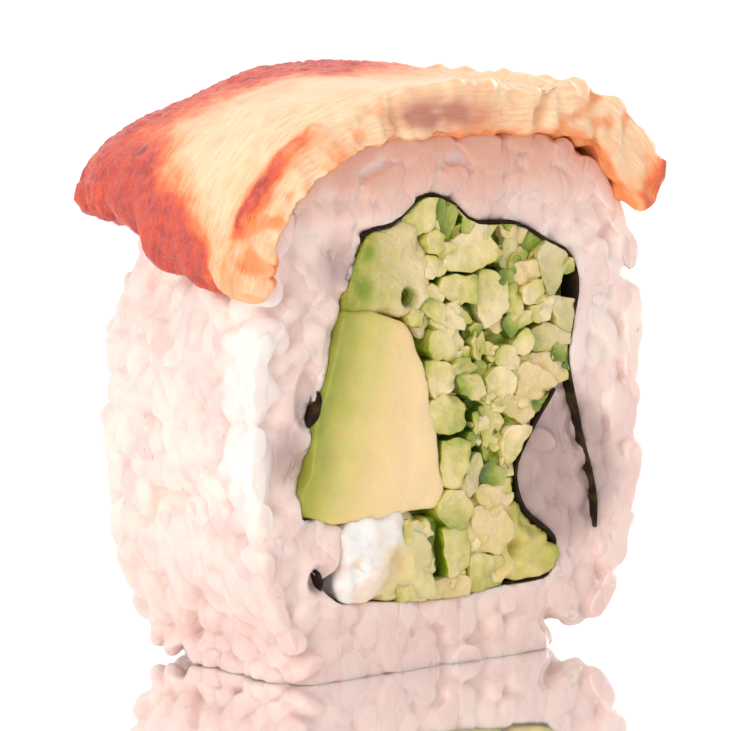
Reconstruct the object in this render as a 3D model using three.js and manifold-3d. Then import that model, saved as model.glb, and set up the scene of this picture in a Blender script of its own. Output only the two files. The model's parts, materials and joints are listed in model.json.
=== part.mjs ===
// One piece of an inside-out sushi roll: a ring of rice round a sheet of nori, avocado, cucumber and
// cream cheese inside it, and a slice of grilled eel laid over the top.
// Millimetres, +Z up. The roll's axis runs along Y, its cut faces are at its two Y ends, and the origin
// is the middle of the flat spot that the rice stands on.

import * as THREE from "three";
import { mergeVertices } from "three/addons/utils/BufferGeometryUtils.js";
import Module from "manifold-3d";

const wasm = await Module();
wasm.setup();

// ---------------------------------------------------------------- driving dimensions

const ROLL_LENGTH = 22; // cut face to cut face, along Y
const ROLL_HALF_WIDTH = 21.1; // rice only, without the eel
const ROLL_TOP = 44.8; // top of the rice
const CORE_X = 0.3; // the axis that the rice is pressed round
const CORE_Z = 22.4;
const SAG = 1.1; // how far the bottom would hang below the table if it weren't pressed flat
const SQUARENESS = 3.3; // 2 is an ellipse, more is a rounder-cornered square

const CLEARANCE = 0.3; // air between neighbours
const NORI_THICKNESS = 0.4;
const NORI_SIDE = NORI_THICKNESS / 2 + CLEARANCE; // middle of the sheet to whatever lies against it

const RIM_ROUNDING = 1.3; // soft edge of the rice round each cut face
const RIM_STEEPEST = 0.98; // the rounding stops just short of facing straight along Y
const GRAIN_RELIEF = 0.5; // height of the uneven rice surface
const RICE_STEPS = 80; // round the outside of the rice
const RICE_SPANS = 8; // along the rice

const SEAM_ANGLE = degrees(-58.6); // crevice low on the right where the last fold of rice ends
const SEAM_DEPTH = 3.9;
const SEAM_WIDTH = degrees(1.5);
const SEAM_END = 4; // the crevice has closed by this far along Y
const SEAM_STEPS = 7; // extra points of the outline in the crevice
const SEAM_STEP = degrees(0.9);

const EEL_FRONT = -12.8; // the eel overhangs both cut faces
const EEL_BACK = 13.5;
const EEL_THICKNESS = 4.6;
const EEL_RIGHT_ANGLE = degrees(38);
const EEL_LEFT_ANGLE = degrees(153);
const EEL_COLUMNS = 38; // across the slice, from its right end to its left
const EEL_ROWS = 10; // from its front cut to its back edge

const FRONT = -ROLL_LENGTH / 2;
const BACK = ROLL_LENGTH / 2;

// ---------------------------------------------------------------- outlines in the cut face, as [x, z]

// The sheet of nori from its inner end: a short lap round a pocket of rice, the bottom, the left side,
// the roof and the right side down to its outer end.
const NORI_LAP = [
  [11.6, 22.7],
  [9.3, 19.6],
  [7.3, 16.2],
  [8.2, 12.8],
  [11.2, 10.4],
  [12.8, 8.3],
];
const NORI_BOTTOM = [
  [11.4, 6.6],
  [6.0, 6.1],
  [0.0, 5.6],
  [-8.0, 6.1],
  [-12.6, 6.7],
];
const NORI_LEFT = [
  [-14.4, 9.6],
  [-16.3, 13.6],
  [-16.6, 16.8],
  [-15.0, 23.0],
  [-13.0, 28.2],
  [-10.9, 34.8],
];
const NORI_ROOF = [
  [-9.0, 37.3],
  [-5.8, 38.1],
  [-2.6, 40.1],
  [0.4, 39.3],
  [2.8, 37.6],
  [7.6, 37.2],
  [10.8, 35.6],
  [13.5, 34.2],
];
const NORI_RIGHT = [
  [14.4, 31.5],
  [14.1, 28.0],
  [13.5, 24.8],
  [14.9, 19.0],
  [16.5, 13.4],
  [16.6, 10.2],
];
const NORI_PATH = [...NORI_LAP, ...NORI_BOTTOM, ...NORI_LEFT, ...NORI_ROOF, ...NORI_RIGHT];
const NORI_STEPS = 80;
const FILLING_POINTS = 22;
const FILLING_SPANS = 4;
const POCKET_TOP = 23.4; // height of the tip of the rice pocket

const AVOCADO_SLICE = [
  [-16.8, 15.2],
  [-15.6, 20.0],
  [-13.4, 26.0],
  [-11.8, 31.4],
  [-9.0, 30.9],
  [-6.2, 29.2],
  [-3.8, 26.6],
  [-2.2, 22.4],
  [-1.5, 17.6],
  [-1.7, 14.1],
  [-5.6, 13.5],
  [-12.0, 13.3],
];
const AVOCADO_TIP = [
  [-12.2, 31.9],
  [-10.6, 36.0],
  [-7.6, 38.0],
  [-4.0, 37.6],
  [-2.0, 34.4],
  [-2.0, 30.6],
  [-3.6, 27.3],
  [-5.8, 29.6],
  [-8.6, 31.4],
];
const AVOCADO_CORNER = [
  [2.6, 13.0],
  [4.4, 14.9],
  [7.4, 14.4],
  [9.2, 11.8],
  [12.2, 9.4],
  [12.2, 6.6],
  [7.2, 6.0],
  [2.8, 6.4],
  [2.0, 9.8],
];
const CREAM_CHEESE = [
  [-12.2, 6.2],
  [-12.6, 9.4],
  [-11.2, 13.1],
  [-6.0, 13.2],
  [-3.4, 12.2],
  [-2.4, 9.2],
  [-2.2, 6.0],
  [-7.0, 6.0],
];

// The bundle takes what the others leave of this, so its left edge only has to lie well inside them.
const CUCUMBER_BUNDLE = [
  [-7.0, 41.0],
  [13.0, 38.0],
  [15.0, 26.0],
  [13.0, 21.0],
  [8.0, 13.0],
  [13.0, 5.0],
  [-7.0, 5.0],
];

// Cucumber sticks that stand out of the bundle's ends, on a slanted grid.
const STICK_SIZE = 3.0;
const STICK_PITCH = 3.5;
const STICK_COLUMNS = 5;
const STICK_ROWS = 10;
const STICK_LEAN = degrees(14);
const FIRST_STICK = [-1.8, 7.6];
const BUNDLE_CORE_END = 9.6; // the bundle is solid this far out from the middle
const STICK_END_LOWEST = 10.3;
const STICK_END_SPREAD = 1.2;

// ---------------------------------------------------------------- small helpers

function degrees(value) {
  return (value * Math.PI) / 180;
}

function smooth(from, to, value) {
  return THREE.MathUtils.smoothstep(value, from, to);
}

function points(list) {
  return list.map(([x, z]) => new THREE.Vector2(x, z));
}

// An open curve through the given points, sampled evenly.
function openCurve(list, steps) {
  return new THREE.SplineCurve(points(list)).getSpacedPoints(steps);
}

// A closed curve through the given points, sampled evenly, anticlockwise.
function closedCurve(list, steps) {
  const knots = list.map(([x, z]) => new THREE.Vector3(x, z, 0));
  const curve = new THREE.CatmullRomCurve3(knots, true, "centripetal");
  const outline = curve.getSpacedPoints(steps).slice(0, steps);
  return anticlockwise(outline.map((p) => new THREE.Vector2(p.x, p.y)));
}

function anticlockwise(outline) {
  return THREE.ShapeUtils.area(outline) < 0 ? outline.reverse() : outline;
}

// Each point moved to the right of its direction of travel: outwards on an anticlockwise outline.
function moveSideways(line, distance, closed) {
  const last = line.length - 1;
  return line.map((point, i) => {
    const before = closed ? line[(i + last) % (last + 1)] : line[Math.max(i - 1, 0)];
    const after = closed ? line[(i + 1) % (last + 1)] : line[Math.min(i + 1, last)];
    const along = after.clone().sub(before).normalize();
    return new THREE.Vector2(point.x + along.y * distance, point.y - along.x * distance);
  });
}

// A mesh from positions and triangles, whose faces are anticlockwise seen from outside.
function geometryOf(positions, triangles) {
  const geometry = new THREE.BufferGeometry();
  geometry.setAttribute("position", new THREE.Float32BufferAttribute(positions, 3));
  geometry.setIndex(triangles);
  return geometry;
}

function solidOf(geometry) {
  geometry.deleteAttribute("normal");
  geometry.deleteAttribute("uv");
  const merged = mergeVertices(geometry, 1e-4);
  return new wasm.Manifold(
    new wasm.Mesh({
      numProp: 3,
      vertProperties: new Float32Array(merged.attributes.position.array),
      triVerts: new Uint32Array(merged.index.array),
    }),
  );
}

function geometryFrom(solid) {
  const mesh = solid.getMesh();
  const positions = [];
  for (let i = 0; i < mesh.numVert; i++) {
    const at = i * mesh.numProp;
    positions.push(...mesh.vertProperties.subarray(at, at + 3));
  }
  return geometryOf(positions, Array.from(mesh.triVerts));
}

// Two triangles between neighbouring points of two rows of a grid.
function quad(triangles, a, b, c, d) {
  triangles.push(a, b, c, a, c, d);
}

// The wall between two rows of points, with the solid on the left of the direction of travel.
function wall(triangles, near, far, count) {
  for (let i = 0; i < count; i++) {
    const next = (i + 1) % count;
    quad(triangles, near + i, far + i, far + next, near + next);
  }
}

// A solid that runs along Y through a list of { y, outline } sections, all anticlockwise with equally
// many points, and round a straight clockwise hole, if there is one.
function runThrough(sections, hole = []) {
  const count = sections[0].outline.length;
  const positions = [];
  const triangles = [];
  for (const { y, outline } of sections) {
    for (const point of outline) {
      positions.push(point.x, y, point.y);
    }
  }
  for (let s = 0; s < sections.length - 1; s++) {
    wall(triangles, s * count, (s + 1) * count, count);
  }
  const holeStart = sections.length * count;
  const ends = [sections[0], sections[sections.length - 1]];
  for (const { y } of ends) {
    for (const point of hole) {
      positions.push(point.x, y, point.y);
    }
  }
  wall(triangles, holeStart, holeStart + hole.length, hole.length);
  ends.forEach(({ outline }, end) => {
    const all = [...outline, ...hole];
    const outlineStart = end * (sections.length - 1) * count;
    const at = (k) => (k < count ? outlineStart + k : holeStart + end * hole.length + k - count);
    for (const face of THREE.ShapeUtils.triangulateShape(outline, hole.length ? [hole] : [])) {
      const isAnticlockwise = THREE.ShapeUtils.area(face.map((k) => all[k])) > 0;
      const [a, b, c] = isAnticlockwise === (end === 0) ? face : [...face].reverse();
      triangles.push(at(a), at(b), at(c));
    }
  });
  return geometryOf(positions, triangles);
}

// A straight prism along Y.
function prism(outline, from, to) {
  return solidOf(
    runThrough([
      { y: from, outline },
      { y: to, outline },
    ]),
  );
}

// A prism that runs past both cut faces.
function longPrism(outline) {
  return prism(outline, FRONT - STICK_SIZE, BACK + STICK_SIZE);
}

// ---------------------------------------------------------------- rice

// Distance of the rice surface from the roll's axis. It is smooth under the eel, which presses it down.
function riceRadius(angle, y) {
  const across = Math.abs(Math.cos(angle)) / ROLL_HALF_WIDTH;
  const halfHeight = Math.sin(angle) > 0 ? ROLL_TOP - CORE_Z : CORE_Z + SAG;
  const upward = Math.abs(Math.sin(angle)) / halfHeight;
  const base = (across ** SQUARENESS + upward ** SQUARENESS) ** (-1 / SQUARENESS);
  return base + GRAIN_RELIEF * bare(angle) * unevenness(angle, y) - seam(angle, y);
}

// 0 where the eel covers the rice and 1 where the rice is bare.
function bare(angle) {
  const turned = THREE.MathUtils.euclideanModulo(angle, 2 * Math.PI);
  const fade = degrees(12);
  const right = smooth(EEL_RIGHT_ANGLE - fade, EEL_RIGHT_ANGLE, turned);
  const left = smooth(EEL_LEFT_ANGLE, EEL_LEFT_ANGLE + fade, turned);
  return 1 - right + left;
}

// Clumps of grains, between -1 and 1.
function unevenness(angle, y) {
  const broad = Math.sin(9 * angle + 0.42 * y) * Math.cos(0.5 * y - 3 * angle);
  const fine = Math.sin(19 * angle - 0.9 * y);
  return 0.65 * broad + 0.35 * fine;
}

function seam(angle, y) {
  const turned = THREE.MathUtils.euclideanModulo(angle - SEAM_ANGLE + Math.PI, 2 * Math.PI) - Math.PI;
  return SEAM_DEPTH * Math.exp(-((turned / SEAM_WIDTH) ** 2)) * (1 - smooth(FRONT, SEAM_END, y));
}

// Angles round the roll, closer together at the crevice.
function riceAngles() {
  const angles = [];
  for (let i = 0; i < RICE_STEPS; i++) {
    angles.push(-Math.PI + (i * 2 * Math.PI) / RICE_STEPS);
  }
  for (let i = 0; i < SEAM_STEPS; i++) {
    angles.push(SEAM_ANGLE + (i - (SEAM_STEPS - 1) / 2) * SEAM_STEP);
  }
  return angles.sort((a, b) => a - b);
}

function riceOutline(y) {
  const fromMiddle = Math.abs(y) - (ROLL_LENGTH / 2 - RIM_ROUNDING);
  const rim = Math.max(fromMiddle, 0) / RIM_ROUNDING;
  const inset = RIM_ROUNDING * (1 - Math.sqrt(1 - Math.min(rim, RIM_STEEPEST) ** 2));
  return riceAngles().map((angle) => {
    const radius = riceRadius(angle, y) - inset;
    const x = CORE_X + radius * Math.cos(angle);
    const z = CORE_Z + radius * Math.sin(angle);
    return new THREE.Vector2(x, Math.max(z, 0));
  });
}

// The inside of the rice: along the outside of the whole sheet of nori, over the tip of the pocket and
// down the other side of the sheet's outer end, so that the pocket is a tongue of the same rice.
function riceCavity() {
  const sheet = openCurve(NORI_PATH, NORI_STEPS);
  const outside = moveSideways(sheet, -NORI_SIDE, false).reverse();
  const outerEnd = sheet.filter((p, i) => i > NORI_STEPS / 2 && p.y < POCKET_TOP);
  const pocketSide = moveSideways(outerEnd, NORI_SIDE, false);
  const pastEnd = sheet[NORI_STEPS].clone().add(new THREE.Vector2(0, -NORI_SIDE));
  return [...outside, ...pocketSide, pastEnd];
}

function rice() {
  const rimStep = RIM_ROUNDING / 3;
  const stations = [FRONT, FRONT + rimStep];
  for (let i = 0; i <= RICE_SPANS; i++) {
    stations.push(THREE.MathUtils.lerp(FRONT + RIM_ROUNDING, BACK - RIM_ROUNDING, i / RICE_SPANS));
  }
  stations.push(BACK - rimStep, BACK);
  return runThrough(
    stations.map((y) => ({ y, outline: riceOutline(y) })),
    anticlockwise(riceCavity()).reverse(),
  );
}

// ---------------------------------------------------------------- nori and fillings

function nori() {
  const sheet = openCurve(NORI_PATH, NORI_STEPS);
  const outer = moveSideways(sheet, -NORI_THICKNESS / 2, false);
  const inner = moveSideways(sheet, NORI_THICKNESS / 2, false);
  const outline = anticlockwise([...outer, ...inner.reverse()]);
  return runThrough([
    { y: FRONT, outline },
    { y: BACK, outline },
  ]);
}

// All the room inside the nori.
function fillingRoom() {
  const sheet = openCurve(NORI_PATH, NORI_STEPS);
  const wound = sheet.filter((p, i) => i < NORI_STEPS / 2 || p.y > POCKET_TOP + 2 * CLEARANCE);
  const inside = moveSideways(wound, NORI_SIDE, false);
  return longPrism(anticlockwise(inside));
}

// The soft fillings. The section of each swells and shrinks a little along the roll, its ends are
// rounded, and each end stands back from the cut face by its own amount.
const FILLINGS = {
  avocado_slice: {
    list: AVOCADO_SLICE,
    color: 0xe6d28c,
    frontRecess: 0,
    backRecess: 0.1,
    swell: 0.08,
    rounding: 0.4,
  },
  avocado_tip: {
    list: AVOCADO_TIP,
    color: 0xcdbf7a,
    frontRecess: 0.3,
    backRecess: 0.4,
    swell: 0.1,
    rounding: 0.5,
  },
  avocado_corner: {
    list: AVOCADO_CORNER,
    color: 0xc4b46a,
    frontRecess: 0.4,
    backRecess: 0.2,
    swell: 0.1,
    rounding: 0.5,
  },
  cream_cheese: {
    list: CREAM_CHEESE,
    color: 0xf7f0ea,
    frontRecess: 0.1,
    backRecess: 0.5,
    swell: 0.1,
    rounding: 0.5,
  },
};

function filling({ list, frontRecess, backRecess, swell, rounding }) {
  const outline = closedCurve(list, FILLING_POINTS);
  const front = FRONT + frontRecess;
  const back = BACK - backRecess;
  const stations = [front];
  for (let i = 0; i <= FILLING_SPANS; i++) {
    stations.push(THREE.MathUtils.lerp(front + rounding, back - rounding, i / FILLING_SPANS));
  }
  stations.push(back);
  const sections = stations.map((y) => {
    const atEnd = y === front || y === back ? rounding : 0;
    const shrink = swell * (1 - Math.sin(0.55 * y + list.length));
    return { y, outline: moveSideways(outline, -shrink - atEnd, true) };
  });
  return solidOf(runThrough(sections)).intersect(fillingRoom());
}

// The space that a filling takes from its neighbours, as a prism longer than the roll.
function fillingKeepOut({ list }) {
  return longPrism(moveSideways(closedCurve(list, FILLING_POINTS), CLEARANCE, true));
}

// The soft fillings by name, each cut back from the ones before it.
function softFillings() {
  const made = {};
  const taken = [];
  for (const [name, recipe] of Object.entries(FILLINGS)) {
    made[name] = largest(taken.reduce((solid, other) => solid.subtract(other), filling(recipe)));
    taken.push(fillingKeepOut(recipe));
  }
  return made;
}

// The cucumber: everything that the other fillings leave free, with uneven stick ends.
function cucumber() {
  const bundle = longPrism(anticlockwise(points(CUCUMBER_BUNDLE))).intersect(fillingRoom());
  const keepOuts = Object.values(FILLINGS).map(fillingKeepOut);
  const room = keepOuts.reduce((left, other) => left.subtract(other), bundle);
  const slab = solidOf(new THREE.BoxGeometry(2 * ROLL_TOP, 2 * BUNDLE_CORE_END, 2 * ROLL_TOP));
  const core = slab.intersect(room);
  return largest(sticks().reduce((made, one) => made.add(one.intersect(room)), core));
}

function sticks() {
  const made = [];
  for (let column = 0; column < STICK_COLUMNS; column++) {
    for (let row = 0; row < STICK_ROWS; row++) {
      const wobble = Math.sin(5.1 * column + 2.3 * row);
      const x = FIRST_STICK[0] + (column + 0.3 * (row % 2)) * STICK_PITCH + 0.3 * wobble;
      const z = FIRST_STICK[1] + row * STICK_PITCH + 0.35 * Math.cos(3.7 * column + 1.9 * row);
      const frontEnd = STICK_END_LOWEST + STICK_END_SPREAD * (0.5 + 0.5 * wobble);
      const backEnd = STICK_END_LOWEST + STICK_END_SPREAD * (0.5 - 0.5 * wobble);
      made.push(stick(x, z, STICK_LEAN * wobble, -frontEnd, backEnd));
    }
  }
  return made;
}

function stick(x, z, lean, from, to) {
  const half = STICK_SIZE / 2;
  const corners = points([
    [-half, -half],
    [half, -half],
    [half, half],
    [-half, half],
  ]);
  const centre = new THREE.Vector2(0, 0);
  const outline = corners.map((corner) => corner.rotateAround(centre, lean));
  outline.forEach((corner) => corner.add(new THREE.Vector2(x, z)));
  return prism(outline, from, to);
}

function largest(solid) {
  return solid.decompose().reduce((a, b) => (a.volume() > b.volume() ? a : b));
}

// ---------------------------------------------------------------- eel

// The slice is draped over the rice. "across" runs from 0 at its right end to 1 at its left end, and
// "back" from 0 at the front cut to 1 at the thin back edge.
function eelAngle(across, back) {
  const rightEdge = EEL_RIGHT_ANGLE + degrees(1.6) * Math.sin(9 * back);
  const leftEdge = EEL_LEFT_ANGLE - degrees(9) * back + degrees(1.4) * Math.sin(17 * back);
  return THREE.MathUtils.lerp(rightEdge, leftEdge, across);
}

// Thicker towards the back, thin at both ends, with a lump near the right end, a dip beside it and a
// thin left shoulder.
function eelThickness(across, back) {
  const taper = 1 - 0.08 * across + 0.18 * smooth(0.1, 0.6, back) - 0.2 * smooth(0.85, 1, back);
  const ends = 0.92 + 0.08 * smooth(0, 0.06, across) * (1 - smooth(0.94, 1, across));
  const knob = 0.8 * Math.exp(-(((across - 0.2) / 0.07) ** 2)) * (1 - smooth(0.1, 0.45, back));
  const dip = 0.5 * Math.exp(-(((across - 0.33) / 0.06) ** 2));
  const shoulder = 1.2 * Math.exp(-(((across - 0.8) / 0.14) ** 2)) * smooth(0.2, 0.8, back);
  const ripple = 0.12 * Math.sin(31 * across + 5 * back);
  return EEL_THICKNESS * taper * ends + knob - dip - shoulder + ripple;
}

function eelTopY(across, back) {
  const slant = 2.6 * smooth(0.35, 0.8, across) + 0.5; // the front cut leans back, most at the left
  const scallop = 0.25 * Math.sin(37 * across);
  return THREE.MathUtils.lerp(EEL_FRONT + slant + scallop, EEL_BACK - 0.7, back);
}

function eelUnderY(across, back) {
  const frontWave = 0.35 * Math.sin(23 * across) + 0.2 * Math.sin(41 * across);
  const backWave = 0.4 * Math.sin(19 * across);
  return THREE.MathUtils.lerp(EEL_FRONT + 0.5 + frontWave, EEL_BACK - 0.4 + backWave, back);
}

function eelPoint(angle, lift, y) {
  const radius = riceRadius(angle, 0) + lift;
  return [CORE_X + radius * Math.cos(angle), y, CORE_Z + radius * Math.sin(angle)];
}

function eel() {
  const columns = EEL_COLUMNS;
  const rows = EEL_ROWS;
  const positions = [];
  const triangles = [];
  const wide = rows + 1;
  for (const top of [true, false]) {
    for (let i = 0; i <= columns; i++) {
      for (let j = 0; j <= rows; j++) {
        const across = i / columns;
        const back = j / rows;
        const lift = CLEARANCE + (top ? eelThickness(across, back) : 0);
        const y = top ? eelTopY(across, back) : eelUnderY(across, back);
        positions.push(...eelPoint(eelAngle(across, back), lift, y));
      }
    }
  }
  const under = (columns + 1) * wide;
  for (let i = 0; i < columns; i++) {
    for (let j = 0; j < rows; j++) {
      const a = i * wide + j;
      quad(triangles, a, a + 1, a + wide + 1, a + wide);
      quad(triangles, under + a, under + a + wide, under + a + wide + 1, under + a + 1);
    }
    const front = i * wide;
    const behind = i * wide + rows;
    quad(triangles, under + front, front, front + wide, under + front + wide);
    quad(triangles, behind, under + behind, under + behind + wide, behind + wide);
  }
  for (let j = 0; j < rows; j++) {
    const left = columns * wide + j;
    quad(triangles, under + j, under + j + 1, j + 1, j);
    quad(triangles, left, left + 1, under + left + 1, under + left);
  }
  return geometryOf(positions, triangles);
}

// ---------------------------------------------------------------- the roll

function piece(name, geometry, color, roughness) {
  geometry.computeVertexNormals();
  const mesh = new THREE.Mesh(
    geometry,
    new THREE.MeshStandardMaterial({ color, roughness, metalness: 0 }),
  );
  mesh.name = name;
  return mesh;
}

const group = new THREE.Group();
group.name = "uramaki_roll";
group.add(piece("rice", rice(), 0xf3dfd6, 0.55));
group.add(piece("nori", nori(), 0x1d1c12, 0.6));
for (const [name, solid] of Object.entries(softFillings())) {
  group.add(piece(name, geometryFrom(solid), FILLINGS[name].color, 0.45));
}
group.add(piece("cucumber", geometryFrom(cucumber()), 0xcfc78e, 0.35));
group.add(piece("eel", eel(), 0xf6c493, 0.4));

export default group;
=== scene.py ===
"""One piece of an inside-out sushi roll: sticky rice round nori, avocado, cucumber and cream cheese, with
a slice of grilled eel draped over the top. It stands on its rice edge on a glossy white table.

Sizes are in millimetres unless a name says otherwise, and each finished mesh is put into metres.
"""

from __future__ import annotations

import json
import logging
import math
from dataclasses import dataclass, field
from enum import Enum
from typing import Any

import bpy
import numpy as np
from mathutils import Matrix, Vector, noise

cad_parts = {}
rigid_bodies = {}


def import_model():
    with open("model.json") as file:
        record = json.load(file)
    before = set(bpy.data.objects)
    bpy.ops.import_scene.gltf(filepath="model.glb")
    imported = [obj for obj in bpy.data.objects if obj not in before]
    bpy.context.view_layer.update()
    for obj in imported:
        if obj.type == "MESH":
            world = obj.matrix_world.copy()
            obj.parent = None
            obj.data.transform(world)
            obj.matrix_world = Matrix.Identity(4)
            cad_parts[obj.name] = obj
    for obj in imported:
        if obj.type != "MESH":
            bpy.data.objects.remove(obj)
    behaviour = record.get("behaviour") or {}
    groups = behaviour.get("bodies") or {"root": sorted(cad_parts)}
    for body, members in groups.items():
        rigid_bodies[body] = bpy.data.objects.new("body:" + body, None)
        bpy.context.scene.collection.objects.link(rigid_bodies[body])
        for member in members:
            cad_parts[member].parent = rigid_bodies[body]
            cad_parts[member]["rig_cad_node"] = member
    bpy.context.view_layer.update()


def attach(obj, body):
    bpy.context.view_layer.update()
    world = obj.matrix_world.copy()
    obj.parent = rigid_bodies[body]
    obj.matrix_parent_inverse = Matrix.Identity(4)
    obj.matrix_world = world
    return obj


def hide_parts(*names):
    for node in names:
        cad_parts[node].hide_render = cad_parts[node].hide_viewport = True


MM = 0.001
BODY = "root"
STEPS_IN_A_SPAN = 24
log = logging.getLogger("uramaki")

Points = np.ndarray
Socket = bpy.types.NodeSocket
Colour = tuple[float, float, float, float]
Outline = tuple[tuple[float, float], ...]


# ---------------------------------------------------------------- numbers and curves


def smooth(low: float, high: float, value: Points) -> Points:
    """A soft step from 0 at low to 1 at high."""
    share = np.clip((value - low) / (high - low), 0.0, 1.0)
    return share * share * (3.0 - 2.0 * share)


def bell(value: Points, middle: float, width: float) -> Points:
    """A bell curve, 1 at its middle."""
    return np.exp(-(((value - middle) / width) ** 2))


def round_spot(x: Points, z: Points, middle: tuple[float, float], width: float, squash: float = 1) -> Points:
    """A soft spot, 1 at its middle, which a squash below 1 draws out along z."""
    return bell(np.hypot(x - middle[0], squash * (z - middle[1])), 0.0, width)


def ripple(places: Points, size: float, seed: float) -> Points:
    """Smooth random hills and hollows.

    Args:
        places: where, one row a point.
        size: the width of a hill, in the same unit.
        seed: another number gives other hills.

    Returns:
        One value a point, about -1 to 1.
    """
    shift = Vector((13.7 * seed, -7.9 * seed, 3.1 * seed))
    return np.array([noise.noise(Vector(place) + shift) for place in places / size]) * 1.6


def even_curve(knots: list[tuple[float, float]], steps: int) -> Points:
    """A smooth curve through knots, cut into equal steps.

    Args:
        knots: corner points of the curve, as (x, z).
        steps: how many equal steps.

    Returns:
        steps + 1 points.
    """
    knot = np.array(knots, float)
    last = len(knot) - 1
    fine = []
    for i in range(last):
        before, here = knot[max(i - 1, 0)], knot[i]
        after, beyond = knot[i + 1], knot[min(i + 2, last)]
        for t in np.linspace(0.0, 1.0, STEPS_IN_A_SPAN, endpoint=False):
            a = 2 * here - 2 * after + 0.5 * (after - before) + 0.5 * (beyond - here)
            b = -3 * here + 3 * after - (after - before) - 0.5 * (beyond - here)
            fine.append(((a * t + b) * t + 0.5 * (after - before)) * t + here)
    line = np.array([*fine, knot[-1]])
    along = np.concatenate([[0.0], np.cumsum(np.linalg.norm(np.diff(line, axis=0), axis=1))])
    want = np.linspace(0.0, along[-1], steps + 1)
    return np.stack([np.interp(want, along, line[:, k]) for k in (0, 1)], axis=1)


def sideways(line: Points, distance: float) -> Points:
    """A curve moved to the right of its direction of travel.

    Args:
        line: its points in order.
        distance: how far it moves.

    Returns:
        As many points.
    """
    along = np.gradient(line, axis=0)
    along /= np.linalg.norm(along, axis=1)[:, None]
    return line + distance * np.stack([along[:, 1], -along[:, 0]], axis=1)


def is_inside(places: Points, outline: Points) -> Points:
    """Finds the places inside a closed outline.

    Args:
        places: (x, z) rows.
        outline: (x, z) rows, in order.

    Returns:
        True for each place that lies inside.
    """
    inside = np.zeros(len(places), bool)
    for (x0, z0), (x1, z1) in zip(outline, np.roll(outline, -1, axis=0)):
        crosses = (z0 > places[:, 1]) != (z1 > places[:, 1])
        height = np.where(crosses, (places[:, 1] - z0) / (z1 - z0 + 1e-12), 0.0)
        inside ^= crosses & (places[:, 0] < x0 + height * (x1 - x0))
    return inside


def nearest_on(places: Points, outline: Points) -> tuple[Points, Points]:
    """The nearest point of a closed outline to each place.

    Args:
        places: (x, z) rows.
        outline: (x, z) rows, in order.

    Returns:
        The nearest points and how far away they are.
    """
    best = np.full(len(places), np.inf)
    found = places.copy()
    for start, end in zip(outline, np.roll(outline, -1, axis=0)):
        side = end - start
        share = np.clip((places - start) @ side / (side @ side + 1e-12), 0.0, 1.0)
        foot = start + share[:, None] * side
        away = np.linalg.norm(places - foot, axis=1)
        closer = away < best
        best[closer] = away[closer]
        found[closer] = foot[closer]
    return found, best


def held_in(shape: Points, room: Points) -> Points:
    """Brings the points that lie outside a closed outline back to it.

    Args:
        shape: (x, y, z) rows, which are changed.
        room: the outline as (x, z) rows.

    Returns:
        The same rows.
    """
    spot = shape[:, [0, 2]]
    out = np.where(~is_inside(spot, room))[0]
    shape[np.ix_(out, [0, 2])] = nearest_on(spot[out], room)[0]
    return shape


def kept_out(shape: Points, room: Points) -> Points:
    """Brings the points that lie inside a closed outline out to it.

    Args:
        shape: (x, y, z) rows, which are changed.
        room: the outline as (x, z) rows.

    Returns:
        The same rows.
    """
    spot = shape[:, [0, 2]]
    caught = np.where(is_inside(spot, room))[0]
    shape[np.ix_(caught, [0, 2])] = nearest_on(spot[caught], room)[0]
    return shape


def reach_of(outline: Points, heading: Points) -> Points:
    """How far a closed outline lies from its middle.

    Args:
        outline: (x, z) rows, in order, that can all be seen from their middle.
        heading: the directions to measure in, as angles.

    Returns:
        One distance a direction.
    """
    start = outline - outline.mean(axis=0)
    way = np.stack([np.cos(heading), np.sin(heading)], axis=1)
    reach = np.full(len(heading), np.inf)
    for a, b in zip(start, np.roll(start, -1, axis=0) - start):
        cross = way[:, 0] * b[1] - way[:, 1] * b[0]
        cross = np.where(np.abs(cross) < 1e-9, 1e-9, cross)
        away = (a[0] * b[1] - a[1] * b[0]) / cross
        share = (a[0] * way[:, 1] - a[1] * way[:, 0]) / cross
        hit = (away > 0) & (share > -1e-6) & (share < 1 + 1e-6)
        reach[hit] = np.minimum(reach[hit], away[hit])
    return reach


# ---------------------------------------------------------------- work on meshes


def only(piece: bpy.types.Object) -> None:
    """Makes a piece the only selected one and the active one."""
    bpy.ops.object.select_all(action="DESELECT")
    piece.select_set(True)
    bpy.context.view_layer.objects.active = piece


def modify(piece: bpy.types.Object, kind: str, **settings: Any) -> None:
    """Adds a modifier to a piece and applies it.

    Args:
        piece: what to change.
        kind: the modifier's type.
        settings: its settings.
    """
    only(piece)
    modifier = piece.modifiers.new(kind.title(), kind)
    for name, value in settings.items():
        setattr(modifier, name, value)
    bpy.ops.object.modifier_apply(modifier=modifier.name)


def in_edit_mode(piece: bpy.types.Object) -> None:
    """Opens a piece in edit mode with all of it selected."""
    only(piece)
    bpy.ops.object.mode_set(mode="EDIT")
    bpy.ops.mesh.select_all(action="SELECT")


def out_of_edit_mode() -> None:
    """Closes edit mode."""
    bpy.ops.object.mode_set(mode="OBJECT")


def points_of(piece: bpy.types.Object) -> Points:
    """A mesh's vertices, in its own unit."""
    flat = np.zeros(len(piece.data.vertices) * 3)
    piece.data.vertices.foreach_get("co", flat)
    return flat.reshape(-1, 3)


def normals_of(piece: bpy.types.Object) -> Points:
    """A mesh's outward directions, one a vertex."""
    flat = np.zeros(len(piece.data.vertices) * 3)
    piece.data.vertices.foreach_get("normal", flat)
    return flat.reshape(-1, 3)


def put_points(piece: bpy.types.Object, places: Points) -> None:
    """Moves a mesh's vertices."""
    piece.data.vertices.foreach_set("co", np.ascontiguousarray(places, np.float32).ravel())
    piece.data.update()


def faces_of(piece: bpy.types.Object) -> list[tuple[int, ...]]:
    """A mesh's faces as vertex numbers."""
    return [tuple(face.vertices) for face in piece.data.polygons]


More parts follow.
